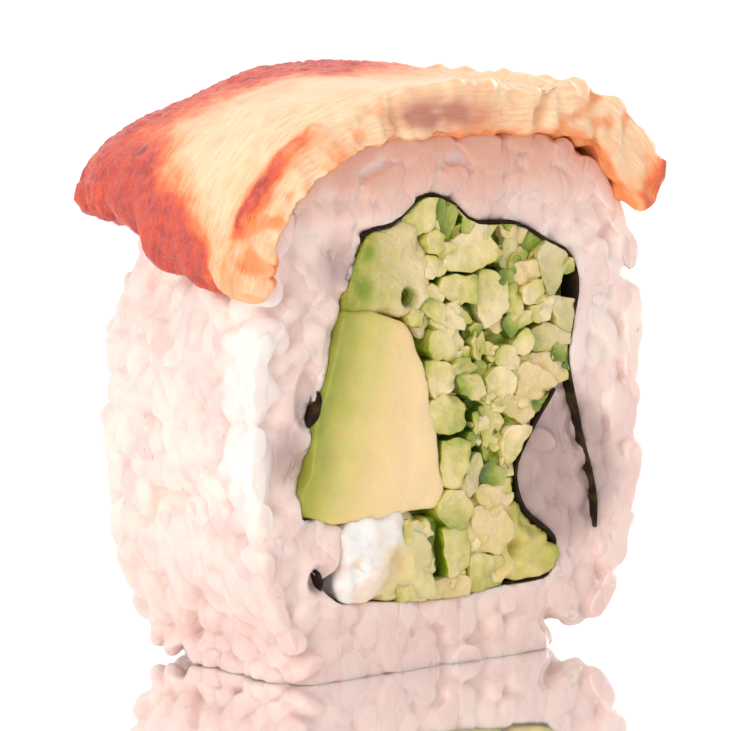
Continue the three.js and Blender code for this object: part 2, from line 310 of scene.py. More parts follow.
def new_mesh(name: str, places: Points, faces: list[tuple[int, ...]]) -> bpy.types.Object:
    """A mesh object at the origin.

    Args:
        name: the piece's name.
        places: its vertices.
        faces: its faces, as vertex numbers.

    Returns:
        The object, linked to the scene.
    """
    mesh = bpy.data.meshes.new(name)
    mesh.from_pydata(places.tolist(), [], faces)
    piece = bpy.data.objects.new(name, mesh)
    bpy.context.scene.collection.objects.link(piece)
    return piece


def cad_nodes() -> dict[str, bpy.types.Object]:
    """The CAD nodes by name."""
    return {piece["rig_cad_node"]: piece for piece in bpy.data.objects if "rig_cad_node" in piece}


def take_copy(node: bpy.types.Object, name: str) -> bpy.types.Object:
    """Copies a CAD node and merges its loose triangles, so that it can be reshaped.

    Args:
        node: the CAD node, in metres.
        name: the copy's name.

    Returns:
        The copy, in millimetres.
    """
    piece = bpy.data.objects.new(name, node.data.copy())
    bpy.context.scene.collection.objects.link(piece)
    put_points(piece, points_of(piece) / MM)
    in_edit_mode(piece)
    bpy.ops.mesh.remove_doubles(threshold=0.001)
    out_of_edit_mode()
    return piece


def discard(piece: bpy.types.Object) -> None:
    """Removes a pattern piece that has been copied."""
    bpy.data.objects.remove(piece)


def joined(name: str, parts: list[bpy.types.Object]) -> bpy.types.Object:
    """Joins several meshes.

    Args:
        name: the new piece's name.
        parts: the meshes, which are used up.

    Returns:
        The one object.
    """
    bpy.ops.object.select_all(action="DESELECT")
    for part in parts:
        part.select_set(True)
    bpy.context.view_layer.objects.active = parts[0]
    bpy.ops.object.join()
    parts[0].name = name
    return parts[0]


def record(piece: bpy.types.Object, name: str, values: Points) -> None:
    """Keeps one number a vertex under a name, for the finish to read."""
    attribute = piece.data.attributes.new(name, "FLOAT", "POINT")
    attribute.data.foreach_set("value", np.ascontiguousarray(values, np.float32))


def thin_out(piece: bpy.types.Object, most: int) -> None:
    """Brings a mesh under a number of triangles, where it has more.

    Args:
        piece: the mesh.
        most: the number of triangles that it may have.
    """
    piece.data.calc_loop_triangles()
    count = len(piece.data.loop_triangles)
    if count > most:
        modify(piece, "DECIMATE", ratio=most / count)


def hand_over(piece: bpy.types.Object, material: bpy.types.Material, slot: str, *nodes: str) -> None:
    """Puts a finished mesh into metres, dresses it and gives it its place in the frame.

    Args:
        piece: the mesh, in millimetres.
        material: its finish.
        slot: not used.
        nodes: the CAD nodes that it stands for.
    """
    put_points(piece, points_of(piece) * MM)
    piece.data.materials.clear()
    piece.data.materials.append(material)
    only(piece)
    bpy.ops.object.shade_smooth()
    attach(piece, BODY)
    if nodes:
        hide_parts(*nodes)
    piece.data.calc_loop_triangles()
    log.info("%s: %d triangles", piece.name, len(piece.data.loop_triangles))


# ---------------------------------------------------------------- recipes for finishes


def shade_of(red: int, green: int, blue: int) -> Colour:
    """Turns a colour card's values into light.

    Args:
        red: from 0 to 255.
        green: from 0 to 255.
        blue: from 0 to 255.

    Returns:
        The colour, as shader sockets take it.
    """

    def light(value: int) -> float:
        """One channel."""
        share = value / 255.0
        return share / 12.92 if share <= 0.04045 else ((share + 0.055) / 1.055) ** 2.4

    return light(red), light(green), light(blue), 1.0


class Recipe:
    """A finish under way: its nodes are added one by one."""

    def __init__(self, name: str) -> None:
        """Starts an empty finish.

        Args:
            name: the material's name.
        """
        self.material = bpy.data.materials.new(name)
        self.material.use_nodes = True
        self.tree = self.material.node_tree
        self.tree.nodes.clear()
        self.place = self.step("ShaderNodeTexCoord").outputs["Object"]

    def step(self, kind: str, inputs: dict[Any, Any] | None = None, **settings: Any) -> bpy.types.Node:
        """Adds a node.

        Args:
            kind: the node's type.
            inputs: values or sockets for its inputs, by name or number.
            settings: its own settings.

        Returns:
            The node.
        """
        made = self.tree.nodes.new(kind)
        for name, value in settings.items():
            setattr(made, name, value)
        for name, value in (inputs or {}).items():
            if isinstance(value, bpy.types.NodeSocket):
                self.tree.links.new(value, made.inputs[name])
            else:
                made.inputs[name].default_value = value
        return made

    def stretched(self, place: Socket, size: tuple[float, float, float]) -> Socket:
        """Coordinates squeezed so that a pattern is longer one way."""
        return self.step("ShaderNodeVectorMath", {0: place, 1: size}, operation="MULTIPLY").outputs[0]

    def tones(self, size: float, place: Socket) -> Socket:
        """A random number, 0 to 1, for each of the facets of the same size and place."""
        inputs = {"Vector": place, "Scale": 1.0 / (size * MM)}
        return self.step("ShaderNodeTexVoronoi", inputs).outputs["Color"]

    def cloud(self, size: float, detail: float = 2.0, place: Socket | None = None) -> Socket:
        """Soft random patches, 0 to 1, of about the given size in millimetres."""
        inputs = {"Vector": place or self.place, "Scale": 1.0 / (size * MM), "Detail": detail}
        return self.step("ShaderNodeTexNoise", inputs).outputs[0]

    def cells(self, size: float, place: Socket | None = None) -> Socket:
        """Round cells, 0 in their middles, of about the given size in millimetres."""
        inputs = {"Vector": place or self.place, "Scale": 1.0 / (size * MM)}
        return self.step("ShaderNodeTexVoronoi", inputs).outputs["Distance"]

    def warped(self, size: float, shift: float) -> Socket:
        """Object coordinates pushed about by up to a shift, in hills of a size, both in millimetres."""
        inputs = {"Vector": self.place, "Scale": 1.0 / (size * MM), "Detail": 1.0}
        noisy = self.step("ShaderNodeTexNoise", inputs).outputs["Color"]
        inputs = {0: noisy, 1: (shift * MM,) * 3, 2: self.place}
        return self.step("ShaderNodeVectorMath", inputs, operation="MULTIPLY_ADD").outputs[0]

    def facets(self, size: float, place: Socket) -> Socket:
        """Rounded facets with narrow grooves between them, 0 in the grooves."""
        inputs = {"Vector": place, "Scale": 1.0 / (size * MM)}
        made = self.step("ShaderNodeTexVoronoi", inputs, feature="DISTANCE_TO_EDGE")
        return self.fade(made.outputs["Distance"], 0.0, 0.16)

    def fade(self, value: Socket, low: float, high: float, top: float = 1.0) -> Socket:
        """0 below low and top above high, smooth between them."""
        inputs = {"Value": value, "From Min": low, "From Max": high, "To Min": 0.0, "To Max": top}
        return self.step("ShaderNodeMapRange", inputs, interpolation_type="SMOOTHSTEP").outputs[0]

    def near(self, centre: tuple[float, float, float], full: float, none: float) -> Socket:
        """1 within a distance in millimetres of a point and 0 beyond another."""
        point = tuple(value * MM for value in centre)
        away = self.step("ShaderNodeVectorMath", {0: self.place, 1: point}, operation="DISTANCE")
        inputs = {"Value": away.outputs["Value"], "From Min": full * MM, "From Max": none * MM}
        inputs.update({"To Min": 1.0, "To Max": 0.0})
        return self.step("ShaderNodeMapRange", inputs, interpolation_type="SMOOTHSTEP").outputs[0]

    def along(self, direction: tuple[float, float, float], start: tuple[float, float, float]) -> Socket:
        """How far each point lies along a direction from a start, in millimetres."""
        shift = tuple(-value * MM for value in start)
        moved = self.step("ShaderNodeVectorMath", {0: self.place, 1: shift}, operation="ADD").outputs[0]
        scaled = tuple(value / MM for value in direction)
        inputs = {0: moved, 1: scaled}
        return self.step("ShaderNodeVectorMath", inputs, operation="DOT_PRODUCT").outputs["Value"]

    def kept(self, name: str) -> Socket:
        """The number that the mesh keeps under a name."""
        return self.step("ShaderNodeAttribute", attribute_name=name).outputs["Fac"]

    def sum_of(self, first: Socket, second: Socket | float, weight: float) -> Socket:
        """first plus weight times second."""
        inputs = {0: second, 1: weight, 2: first}
        return self.step("ShaderNodeMath", inputs, operation="MULTIPLY_ADD").outputs[0]

    def product(self, first: Socket, second: Socket | float) -> Socket:
        """first times second."""
        return self.step("ShaderNodeMath", {0: first, 1: second}, operation="MULTIPLY").outputs[0]

    def blend(self, share: Socket | float, below: Socket | Colour, above: Socket | Colour) -> Socket:
        """One colour over another by a share."""
        return self.step("ShaderNodeMix", {0: share, 6: below, 7: above}, data_type="RGBA").outputs[2]

    def scale(self, value: Socket, stops: list[tuple[float, Colour]]) -> Socket:
        """A colour for each value, through the given stops."""
        made = self.step("ShaderNodeValToRGB", {0: value})
        elements = made.color_ramp.elements
        while len(elements) < len(stops):
            elements.new(0.5)
        for element, (at, colour) in zip(elements, stops):
            element.position = at
            element.color = colour
        return made.outputs[0]

    def relief(self, height: Socket, depth: float, below: Socket | None = None) -> Socket:
        """Fine relief of the given depth in millimetres, on top of another."""
        inputs = {"Height": height, "Distance": depth * MM, "Strength": 1.0}
        if below is not None:
            inputs["Normal"] = below
        return self.step("ShaderNodeBump", inputs).outputs[0]

    def served(self, colour: Socket, moist: Moist, relief: Socket) -> bpy.types.Material:
        """Ends the finish.

        Args:
            colour: the colour all over.
            moist: how wet it is and how deep light sinks in.
            relief: the fine relief.

        Returns:
            The material.
        """
        surface = self.step(
            "ShaderNodeBsdfPrincipled",
            {
                "Base Color": colour,
                "Roughness": moist.roughness,
                "Subsurface Weight": moist.sinks,
                "Subsurface Radius": moist.sink_colour,
                "Subsurface Scale": moist.sink_depth * MM,
                "Coat Weight": moist.wet,
                "Coat Roughness": moist.wet_roughness,
                "Specular IOR Level": moist.specular,
                "Normal": relief,
            },
        )
        self.step("ShaderNodeOutputMaterial", {"Surface": surface.outputs[0]})
        return self.material


@dataclass(frozen=True)
class Moist:
    """How wet a food is, and how deep light sinks into it."""

    roughness: float
    sinks: float
    sink_depth: float
    sink_colour: tuple[float, float, float] = (1.0, 0.65, 0.5)
    wet: float = 0.0
    wet_roughness: float = 0.2
    specular: float = 0.5


# ---------------------------------------------------------------- the roll's shape


@dataclass(frozen=True)
class RollShape:
    """The outline of the rice and the winding of the nori, from its inner end in the lap to its outer end.

    They are the CAD model's, but for the left side, which stands a little further in.
    """

    half_length: float = 11.0
    half_width: float = 21.1
    top: float = 44.8
    core_x: float = 0.3
    core_z: float = 22.4
    sag: float = 1.1
    squareness: float = 3.3
    rim: float = 0.8
    seam_angle: float = math.radians(-58.6)
    seam_depth: float = 3.9
    seam_width: float = math.radians(1.5)
    seam_end: float = 4.0
    pocket_top: float = 23.4
    nori_steps: int = 120
    lap: Outline = ((11.6, 22.7), (9.3, 19.6), (7.3, 16.2), (8.2, 12.8), (11.2, 10.4), (12.8, 8.3))
    bottom: Outline = ((11.4, 6.6), (6.0, 6.1), (0.0, 5.6), (-8.0, 6.1), (-12.6, 6.7))
    left: Outline = (
        *((-14.2, 9.6), (-16.0, 13.2), (-16.4, 15.9), (-15.4, 18.0), (-15.0, 20.6)),
        *((-14.2, 23.4), (-13.2, 26.2), (-12.2, 29.4), (-11.1, 32.6), (-10.1, 35.2)),
    )
    roof: Outline = (
        *((-9.0, 37.3), (-5.8, 38.1), (-2.6, 40.1), (0.4, 39.3)),
        *((2.8, 37.6), (7.6, 37.2), (10.8, 35.6), (13.5, 34.2)),
    )
    right: Outline = ((14.4, 31.5), (13.8, 28.0), (13.4, 24.8), (14.9, 19.0), (16.5, 13.4), (16.6, 10.2))
    covered_corner: tuple[float, float] = (12.9, 7.8)
    bare_side: tuple[float, float] = (-14.9, 23.9)
    bare_corner: tuple[float, float] = (-13.9, 8.7)

    def radius(self, angle: Points, y: Points | float) -> Points:
        """The distance of the rice surface from the roll's axis, crevice and rounded rims included.

        Args:
            angle: round the axis.
            y: along the axis.

        Returns:
            One distance a point.
        """
        across = np.abs(np.cos(angle)) / self.half_width
        half_height = np.where(np.sin(angle) > 0, self.top - self.core_z, self.core_z + self.sag)
        upward = np.abs(np.sin(angle)) / half_height
        base = (across**self.squareness + upward**self.squareness) ** (-1 / self.squareness)
        turned = (angle - self.seam_angle + math.pi) % (2 * math.pi) - math.pi
        seam = self.seam_depth * bell(turned, 0.0, 2.4 * self.seam_width)
        seam = seam * (1 - smooth(-self.half_length, self.seam_end, np.asarray(y, float)))
        past = np.clip((np.abs(y) - self.half_length + self.rim) / self.rim, 0.0, 0.98)
        squared = smooth(-0.95, -0.6, np.sin(angle))
        return base - seam - self.rim * squared * (1 - np.sqrt(1 - past**2))

    def at(self, angle: Points, y: Points, lift: Points | float) -> Points:
        """Points over the rice surface.

        Args:
            angle: round the roll's axis.
            y: along the roll.
            lift: outwards from the surface.

        Returns:
            One row a point.
        """
        radius = self.radius(angle, y) + lift
        x = self.core_x + radius * np.cos(angle)
        return np.stack([x, y + 0 * x, self.core_z + radius * np.sin(angle)], axis=-1)

    def outline(self, y: float, lift: float, count: int = 240) -> Points:
        """The rice outline as (x, z) at one place along the roll."""
        angle = np.linspace(-math.pi, math.pi, count, endpoint=False)
        return self.at(angle, np.full(count, y), lift)[:, [0, 2]]

    def nori_line(self) -> Points:
        """The middle of the nori, from its inner end to its outer end, as (x, z)."""
        knots = [*self.lap, *self.bottom, *self.left, *self.roof, *self.right]
        return even_curve(knots, self.nori_steps)

    def cavity(self, gap: float) -> Points:
        """The inside of the rice, with the tongue of rice left standing.

        Args:
            gap: how far it stays away from the nori.

        Returns:
            A closed outline as (x, z).
        """
        sheet = self.nori_line()
        number = np.arange(len(sheet))
        outer_end = sheet[(number > self.nori_steps / 2) & (sheet[:, 1] < self.pocket_top)]
        past_end = sheet[-1:] - [[0.0, gap]]
        return np.concatenate([sideways(sheet, -gap)[::-1], sideways(outer_end, gap), past_end])

    def covered(self, x: Points, z: Points) -> Points:
        """How far rice has slumped over the edge of the nori: at the left, the bottom and a corner.

        Args:
            x: across the roll.
            z: upwards.

        Returns:
            From 0 to 1, one a place.
        """
        slumped = 1 - smooth(-10.8, -9.4, x) * smooth(6.0, 7.5, z + 0.1 * x)
        corner = round_spot(x, z, self.covered_corner, 1.4)
        return np.clip(slumped + corner, 0, 1) * (1 - self.bare(x, z))

    def bare(self, x: Points, z: Points) -> Points:
        """How far rice has fallen away from the nori, from 0 to 1: at two spots on the left."""
        side = 1.8 * round_spot(x, z, self.bare_side, 1.2, 0.5)
        return np.clip(side + 1.3 * round_spot(x, z, self.bare_corner, 1.2), 0, 1)

    def room(self, gap: float) -> Points:
        """The room for the fillings.

        Args:
            gap: how far it stays inside the nori.

        Returns:
            A closed outline as (x, z).
        """
        sheet = self.nori_line()
        number = np.arange(len(sheet))
        around = (number < self.nori_steps / 2) | (sheet[:, 1] > self.pocket_top)
        return sideways(sheet, gap)[around]


ROLL = RollShape()


# ---------------------------------------------------------------- rice


@dataclass(frozen=True)
class RiceFinish:
    """Cooked rice: white, moist and a little see-through."""

    moist: Moist = Moist(0.38, 0.9, 0.7, (1.0, 0.9, 0.88), wet=0.3, wet_roughness=0.15)
    white: Colour = shade_of(249, 227, 219)
    cool: Colour = shade_of(236, 209, 203)
    cream: Colour = shade_of(251, 233, 222)
    # Painted highlight colour, for the left front edge.
    bright: Colour = shade_of(255, 250, 246)
    # Painted shade colour, for the pocket and two sunken spots on the cut face.
    pocket: Colour = shade_of(186, 159, 154)
    # Below the eel: a sauce tint with the eel's shadow painted in.
    eel_shadow_and_sauce: Colour = shade_of(222, 168, 144)
    speck: Colour = shade_of(190, 150, 125)
    shaded: tuple[tuple[tuple[float, float, float], float, float, float], ...] = (
        ((12.4, -11.0, 15.5), 5.0, 8.5, 0.9),
        ((-17.2, -11.0, 19.3), 1.0, 3.4, 0.8),
        ((-11.8, -11.0, 34.8), 1.0, 3.4, 0.8),
    )

    def material(self) -> bpy.types.Material:
        """White grains with cooler patches, cooler towards the bottom, grey painted shade in the pocket and
        in two sunken spots, a painted highlight along the left front edge and, below the eel, a sauce tint
        with the eel's shadow painted in.
        """
        recipe = Recipe("cooked_rice")
        warped = recipe.stretched(recipe.warped(1.4, 1.0), (1.0, 1.0, 0.6))
        tone = recipe.sum_of(recipe.tones(2.1, warped), recipe.cloud(3.0), 0.8)
        colour = recipe.blend(recipe.fade(tone, 0.5, 1.3), self.white, self.cool)
        colour = recipe.blend(recipe.fade(recipe.cloud(5.0), 0.5, 0.7, 0.8), colour, self.cream)
        low = recipe.fade(recipe.along((0, 0, -1), (0, 0, 16)), 0.0, 11.0, 0.4)
        colour = recipe.blend(low, colour, self.cool)
        # Painted highlight along the left front edge of the rice, where light falls on it.
        rim = recipe.sum_of(recipe.along((-0.77, -0.64, 0.0), (0, 0, 0)), recipe.cloud(4.0), 1.5)
        rim = recipe.product(recipe.fade(rim, 21.3, 23.3, 0.6), recipe.near((-20.0, -11.0, 24.0), 6.0, 14.0))
        colour = recipe.blend(rim, colour, self.bright)
        # Painted shade in the pocket and in two sunken spots.
        for centre, full, none, share in self.shaded:
            shade = recipe.product(recipe.near(centre, full, none), share)
            colour = recipe.blend(shade, colour, self.pocket)
        height = recipe.sum_of(recipe.along((0, 0, 1), (0, 0, 0)), recipe.cloud(5.0), 4.0)
        # Below the eel at the front: the eel's shadow painted darker and warmer into the rice, with a sauce
        # tint.
        at_front = recipe.fade(recipe.along((0.0, -1.0, 0.0), (0.0, 8.5, 0.0)), 18.0, 19.2)
        eel_shadow_and_sauce = recipe.product(recipe.fade(height, 38.0, 45.5, 0.9), at_front)
        colour = recipe.blend(eel_shadow_and_sauce, colour, self.eel_shadow_and_sauce)
        specks = recipe.product(recipe.fade(recipe.cloud(0.5, 0.0), 0.82, 0.86), recipe.cloud(6.0))
        colour = recipe.blend(recipe.product(specks, 0.7), colour, self.speck)
        relief = recipe.relief(recipe.facets(2.1, warped), 0.06)
        relief = recipe.relief(recipe.cloud(0.5, 3.0), 0.05, relief)
        return recipe.served(colour, self.moist, relief)


@dataclass
class Places:
    """Where the copies of a grain go."""

    centre: list[Points] = field(default_factory=list)
    axis: list[Points] = field(default_factory=list)
    outward: list[Points] = field(default_factory=list)
    size: list[Points] = field(default_factory=list)

    def add(self, centre: Points, axis: Points, outward: Points, size: Points) -> None:
        """Adds a row of copies.

        Args:
            centre: their middles.
            axis: their long directions.
            outward: their flat sides' directions.
            size: their length, width and height as multiples of the pattern's.
        """
        self.centre.append(centre)
        self.axis.append(axis)
        self.outward.append(outward)
        self.size.append(size)

    def spread(self, name: str, pattern: bpy.types.Object, pick: Points | None = None) -> bpy.types.Object:
        """Copies a pattern to the places, as one mesh.

        Args:
            name: the new piece's name.
            pattern: the mesh to copy, lying along X with Z up.
            pick: which places to use, or all.

        Returns:
            The new piece.
        """
        centre, axis, outward, size = map(np.concatenate, (self.centre, self.axis, self.outward, self.size))
        if pick is not None:
            centre, axis, outward, size = centre[pick], axis[pick], outward[pick], size[pick]
        outward = outward / np.linalg.norm(outward, axis=1)[:, None]
        axis = axis - outward * np.sum(axis * outward, axis=1)[:, None]
        axis = axis / np.linalg.norm(axis, axis=1)[:, None]
        frames = np.stack([axis, np.cross(outward, axis), outward], axis=2)
        shape = points_of(pattern)
        placed = np.einsum("nij,nkj->nki", frames, shape[None] * size[:, None]) + centre[:, None]
        faces = faces_of(pattern)
        all_faces = [tuple(v + i * len(shape) for v in face) for i in range(len(centre)) for face in faces]
        return new_mesh(name, placed.reshape(-1, 3), all_faces)


@dataclass
class Rice:
    """The sticky ring of rice: grains pressed into one another over a smaller core."""

    grain_length: float = 5.2
    grain_width: float = 2.6
    grain_height: float = 1.9
    row_pitch: float = 2.05
    grain_pitch: float = 2.9
    face_pitch: float = 2.25
    end_margin: float = 0.9
    turn_spread: float = 0.75
    sink: float = 0.22
    sink_spread: float = 0.06
    face_margin: float = 0.9
    step_height: float = 0.6
    core_voxel: float = 0.5
    core_inset: float = 0.55
    core_shortening: float = 0.925
    voxel: float = 0.27
    most_triangles: int = 194_000
    loose_share: float = 0.05
    roughness: float = 0.07
    cut_softness: float = 0.25
    nori_cover: float = 2.3
    pocket_x: tuple[float, float] = (7.5, 16.2)
    pocket_z: tuple[float, float] = (10.5, 24.0)
    pocket_middle: tuple[float, float] = (12.6, 15.5)
    foot_height: float = 3.2
    foot_spread: float = 1.2
    foot_more_at_left: float = 1.6
    slump: float = 0.5
    waist: float = 1.9
    underside: float = 0.3
    knife_inset: float = 0.25
    knife_wave: float = 0.4
    fallen_away: float = 1.7
    sunken_depth: float = 0.9
    sunken: Outline = ((-16.7, 19.3), (-11.6, 34.6))
    lumps: Outline = (
        *((11.9, 20.6), (13.0, 17.9), (9.9, 16.6), (12.2, 14.4), (14.7, 13.6), (10.3, 13.2)),
        *((12.6, 10.9), (15.2, 10.4), (-12.9, 11.6), (-14.6, 12.6), (-13.4, 10.6), (-14.9, 13.4)),
    )
    places: Places = field(default_factory=Places)
    finish: RiceFinish = RiceFinish()

    def grain(self, name: str, subdivisions: int) -> bpy.types.Object:
        """Models one grain: a longish ball, a little bent, with a nick where its germ was.

        Args:
            name: the pattern's name.
            subdivisions: how fine the ball is.

        Returns:
            The grain, along X.
        """
        bpy.ops.object.select_all(action="DESELECT")
        bpy.ops.mesh.primitive_ico_sphere_add(subdivisions=subdivisions, radius=1.0)
        piece = bpy.context.active_object
        piece.name = name
        in_edit_mode(piece)
        half = (self.grain_length / 2, self.grain_width / 2, self.grain_height / 2)
        bpy.ops.transform.resize(value=half)
        out_of_edit_mode()
        shape = points_of(piece)
        along = shape[:, 0] / half[0]
        shape[:, 1] += 0.22 * along**2
        shape[:, 1:] *= (1.0 - 0.12 * np.clip(along, 0, 1))[:, None]
        shape[:, 0] -= 0.35 * bell(along, 1.0, 0.3) * bell(shape[:, 1], 0.5, 0.5)
        put_points(piece, shape)
        return piece

    def lay_outside(self, random: np.random.Generator) -> None:
        """Lays grains flat over the outside, in rows along the roll with uneven turns.

        Args:
            random: the source of unevenness.
        """
        for y in np.arange(-ROLL.half_length + self.end_margin, ROLL.half_length - 0.6, self.row_pitch):
            outline = ROLL.outline(y, 0.0)
            length = np.linalg.norm(np.diff(outline, axis=0, append=outline[:1]), axis=1).sum()
            count = int(length / self.grain_pitch)
            angle = np.linspace(-math.pi, math.pi, count, endpoint=False) + random.uniform(0, 1)
            angle = angle + random.normal(0, 0.25, count) * self.grain_pitch / ROLL.half_width
            here = y + random.normal(0, 0.4, count)
            depth = self.grain_height * (self.sink + self.sink_spread * random.normal(0, 1, count))
            centre = ROLL.at(angle, here, -depth)
            ahead = ROLL.at(angle + 0.02, here, 0.0) - ROLL.at(angle - 0.02, here, 0.0)
            outward = np.stack([ahead[:, 2], 0 * here, -ahead[:, 0]], axis=1)
            outward[:, 1] = 0.25 * np.linalg.norm(ahead, axis=1) * here / ROLL.half_length
            heading = random.normal(0, self.turn_spread, count)
            ahead /= np.linalg.norm(ahead, axis=1)[:, None]
            axis = ahead * np.cos(heading)[:, None]
            axis[:, 1] += np.sin(heading)
            keep = centre[:, 2] > 0.4
            size = self.sizes(random, count)
            self.places.add(centre[keep], axis[keep], outward[keep], size[keep])

    def sizes(self, random: np.random.Generator, count: int) -> Points:
        """Uneven grain sizes, some of them short.

        Args:
            random: the source of unevenness.
            count: how many.

        Returns:
            Multiples of the pattern's length, width and height.
        """
        size = random.normal(1.0, 0.1, (count, 3))
        size[:, 0] *= random.uniform(0.7, 1.05, count)
        return np.clip(size, 0.6, 1.3)

    def lay_on_face(self, random: np.random.Generator, end: float) -> None:
        """Lays grains on a cut face, where the knife left uneven steps.

        Args:
            random: the source of unevenness.
            end: -1 for the front face and 1 for the back.
        """
        outer, inner = ROLL.outline(end * 9.0, 0.0), ROLL.cavity(0.25)
        grid = np.arange(-24, 24, self.face_pitch)
        x, z = (axis.ravel() for axis in np.meshgrid(grid, grid + ROLL.core_z))
        spot = np.stack([x, z], axis=1) + random.normal(0, 0.5, (len(x), 2))
        spot = spot[is_inside(spot, outer) & (nearest_on(spot, outer)[1] > self.face_margin)]
        from_nori = nearest_on(spot, inner)[1] * np.where(is_inside(spot, inner), -1, 1)
        least = 0.3 - 0.6 * ROLL.covered(spot[:, 0], spot[:, 1])
        spot = spot[(from_nori > least) & ~self.in_pocket(spot)]
        spot = np.concatenate([spot, self.beside_nori(), self.lumps])
        away = nearest_on(spot, inner)[1]
        count = len(spot)
        place = np.stack([spot[:, 0], np.full(count, 40.0 * end), spot[:, 1]], axis=1)
        step = self.step_height * np.clip(ripple(place, 5.0, 3.0) + 0.35, 0, 1)
        step = step + np.abs(random.normal(0, 0.2, count))
        step = np.where(self.in_pocket(spot), 0.35 + 1.1 * step, step)
        at_left = 1 - smooth(-11.0, -9.0, spot[:, 0])
        patchy = smooth(-0.3, 0.3, ripple(place, 3.5, 5.0))
        step = step + self.step_height * at_left * (1 - smooth(1.2, 2.8, away)) * patchy
        y = end * (ROLL.half_length - self.grain_height / 2 - step)
        centre = np.stack([spot[:, 0], y, spot[:, 1]], axis=1)
        outward = random.normal(0, 0.22, (count, 3))
        outward[:, 1] += end
        axis = random.normal(0, 1, (count, 3))
        axis[:, 1] *= 0.25
        size = self.sizes(random, count) * [0.85, 1.0, 1.0]
        size[-len(self.lumps) :] *= [0.95, 1.35, 1.1]
        self.places.add(centre, axis, outward, size)

    def in_pocket(self, spot: Points) -> Points:
        """Which (x, z) places lie in the lap of the nori, where the tongue of rice is set back."""
        (left, right), (low, high) = self.pocket_x, self.pocket_z
        return (spot[:, 0] > left) & (spot[:, 0] < right) & (spot[:, 1] > low) & (spot[:, 1] < high)

    def beside_nori(self) -> Points:
        """Places all along the nori, so that the rice reaches up to it."""
        line = ROLL.nori_line()
        outward = sideways(line, -1.0) - line
        beside = line + outward * (1.05 - 0.5 * ROLL.covered(line[:, 0], line[:, 1]))[:, None]
        outer_end = (np.arange(len(line)) > ROLL.nori_steps / 2) & (line[:, 1] < ROLL.pocket_top)
        return np.concatenate([beside[::2], (line - outward)[outer_end][::2]])

    def core(self) -> bpy.types.Object:
        """The smaller ring that the grains lie on."""
        piece = take_copy(cad_nodes()["rice"], "rice_core")
        modify(piece, "REMESH", mode="VOXEL", voxel_size=self.core_voxel)
        modify(piece, "DISPLACE", strength=-self.core_inset, mid_level=0.0)
        shape = points_of(piece)
        shape[:, 1] *= self.core_shortening
        put_points(piece, shape)
        return piece

    def settled(self, shape: Points) -> Points:
        """Lets the ring sink under its own weight, with a spread foot that is flat on the table.

        Args:
            shape: the vertices, which are changed.

        Returns:
            The same rows.
        """
        x, y, z = shape.T
        spread = self.foot_spread + self.foot_more_at_left * (x < 0)
        foot = (1 - smooth(0.0, self.foot_height, z)) * spread * smooth(8.0, 12.0, np.abs(x))
        slump = self.slump * bell(z, 20.0, 8.0) * (1 - smooth(-19.0, -15.0, x))
        waist = self.waist * smooth(27.0, 31.5, z) * (1 - smooth(34.0, 38.0, z)) * smooth(-6.0, 4.0, y)
        shape[:, 0] = x + np.sign(x) * foot - slump + waist * (1 - smooth(-16.0, -10.0, x))
        below = shape[:, 2] < self.underside
        shape[below, 2] = self.underside * np.exp((shape[below, 2] - self.underside) / self.underside)
        shape[:, 2] *= smooth(0.1, 1.3, shape[:, 2])
        return shape

    def knife(self, shape: Points) -> Points:
        """How far from the roll's middle the knife went through, and where rice has fallen away since.

        Args:
            shape: the vertices.

        Returns:
            One distance a vertex.
        """
        x, z = shape[:, 0], shape[:, 2]
        face = shape * [1.0, 0.0, 1.0] + [0.0, 30.0, 0.0] * np.sign(shape[:, 1:2])
        pocket = round_spot(x, z, self.pocket_middle, 6.0)
        flatter = 0.4 * smooth(-15.0, -9.0, x) * (1 - pocket)
        wave = self.knife_wave * ripple(face, 6.0, 11.0)
        knife = ROLL.half_length - self.knife_inset - flatter + wave + 0.3 * pocket
        knife = knife - self.fallen_away * ROLL.bare(x, z)
        for middle in self.sunken:
            knife = knife - self.sunken_depth * round_spot(x, z, middle, 1.4, 0.6)
        return knife

    def pressed(self, shape: Points) -> Points:
        """Settles the rice on the table, cuts its faces and keeps it out of the nori's room.

        Args:
            shape: the vertices, which are changed.

        Returns:
            The same rows.
        """
        shape = self.settled(shape)
        knife = self.knife(shape)
        past = np.abs(shape[:, 1]) - knife
        cut = knife + self.cut_softness * np.tanh(past / self.cut_softness)
        shape[:, 1] = np.where(past > 0, np.sign(shape[:, 1]) * cut, shape[:, 1])
        cover = self.nori_cover * ROLL.covered(shape[:, 0], shape[:, 2])
        deep = np.abs(shape[:, 1]) < ROLL.half_length - cover
        shape[deep] = kept_out(shape[deep], ROLL.cavity(0.16))
        x, y, z = shape.T
        lump = (x < -11.2) & (z > 9.3) & (z < 14.0) & (np.abs(y) > 9.4)
        shape[~lump] = kept_out(shape[~lump], ROLL.room(0.1))
        return shape

    def build(self) -> None:
        """Makes the fused mass and the loose grains on top of it."""
        random = np.random.default_rng(7)
        self.lay_outside(random)
        self.lay_on_face(random, -1.0)
        self.lay_on_face(random, 1.0)
        pattern = self.grain("grain_pattern", 3)
        grains = self.places.spread("rice_pressed", pattern)
        discard(pattern)
        mass = joined("rice_mass", [self.core(), grains])
        modify(mass, "REMESH", mode="VOXEL", voxel_size=self.voxel)
        modify(mass, "SMOOTH", factor=0.5, iterations=2)
        shape = points_of(mass)
        shape = shape + normals_of(mass) * (self.roughness * ripple(shape, 1.2, 1.0))[:, None]
        put_points(mass, self.pressed(shape))
        thin_out(mass, self.most_triangles)
        hand_over(mass, self.finish.material(), "rice", "rice")
        self.build_loose(random)

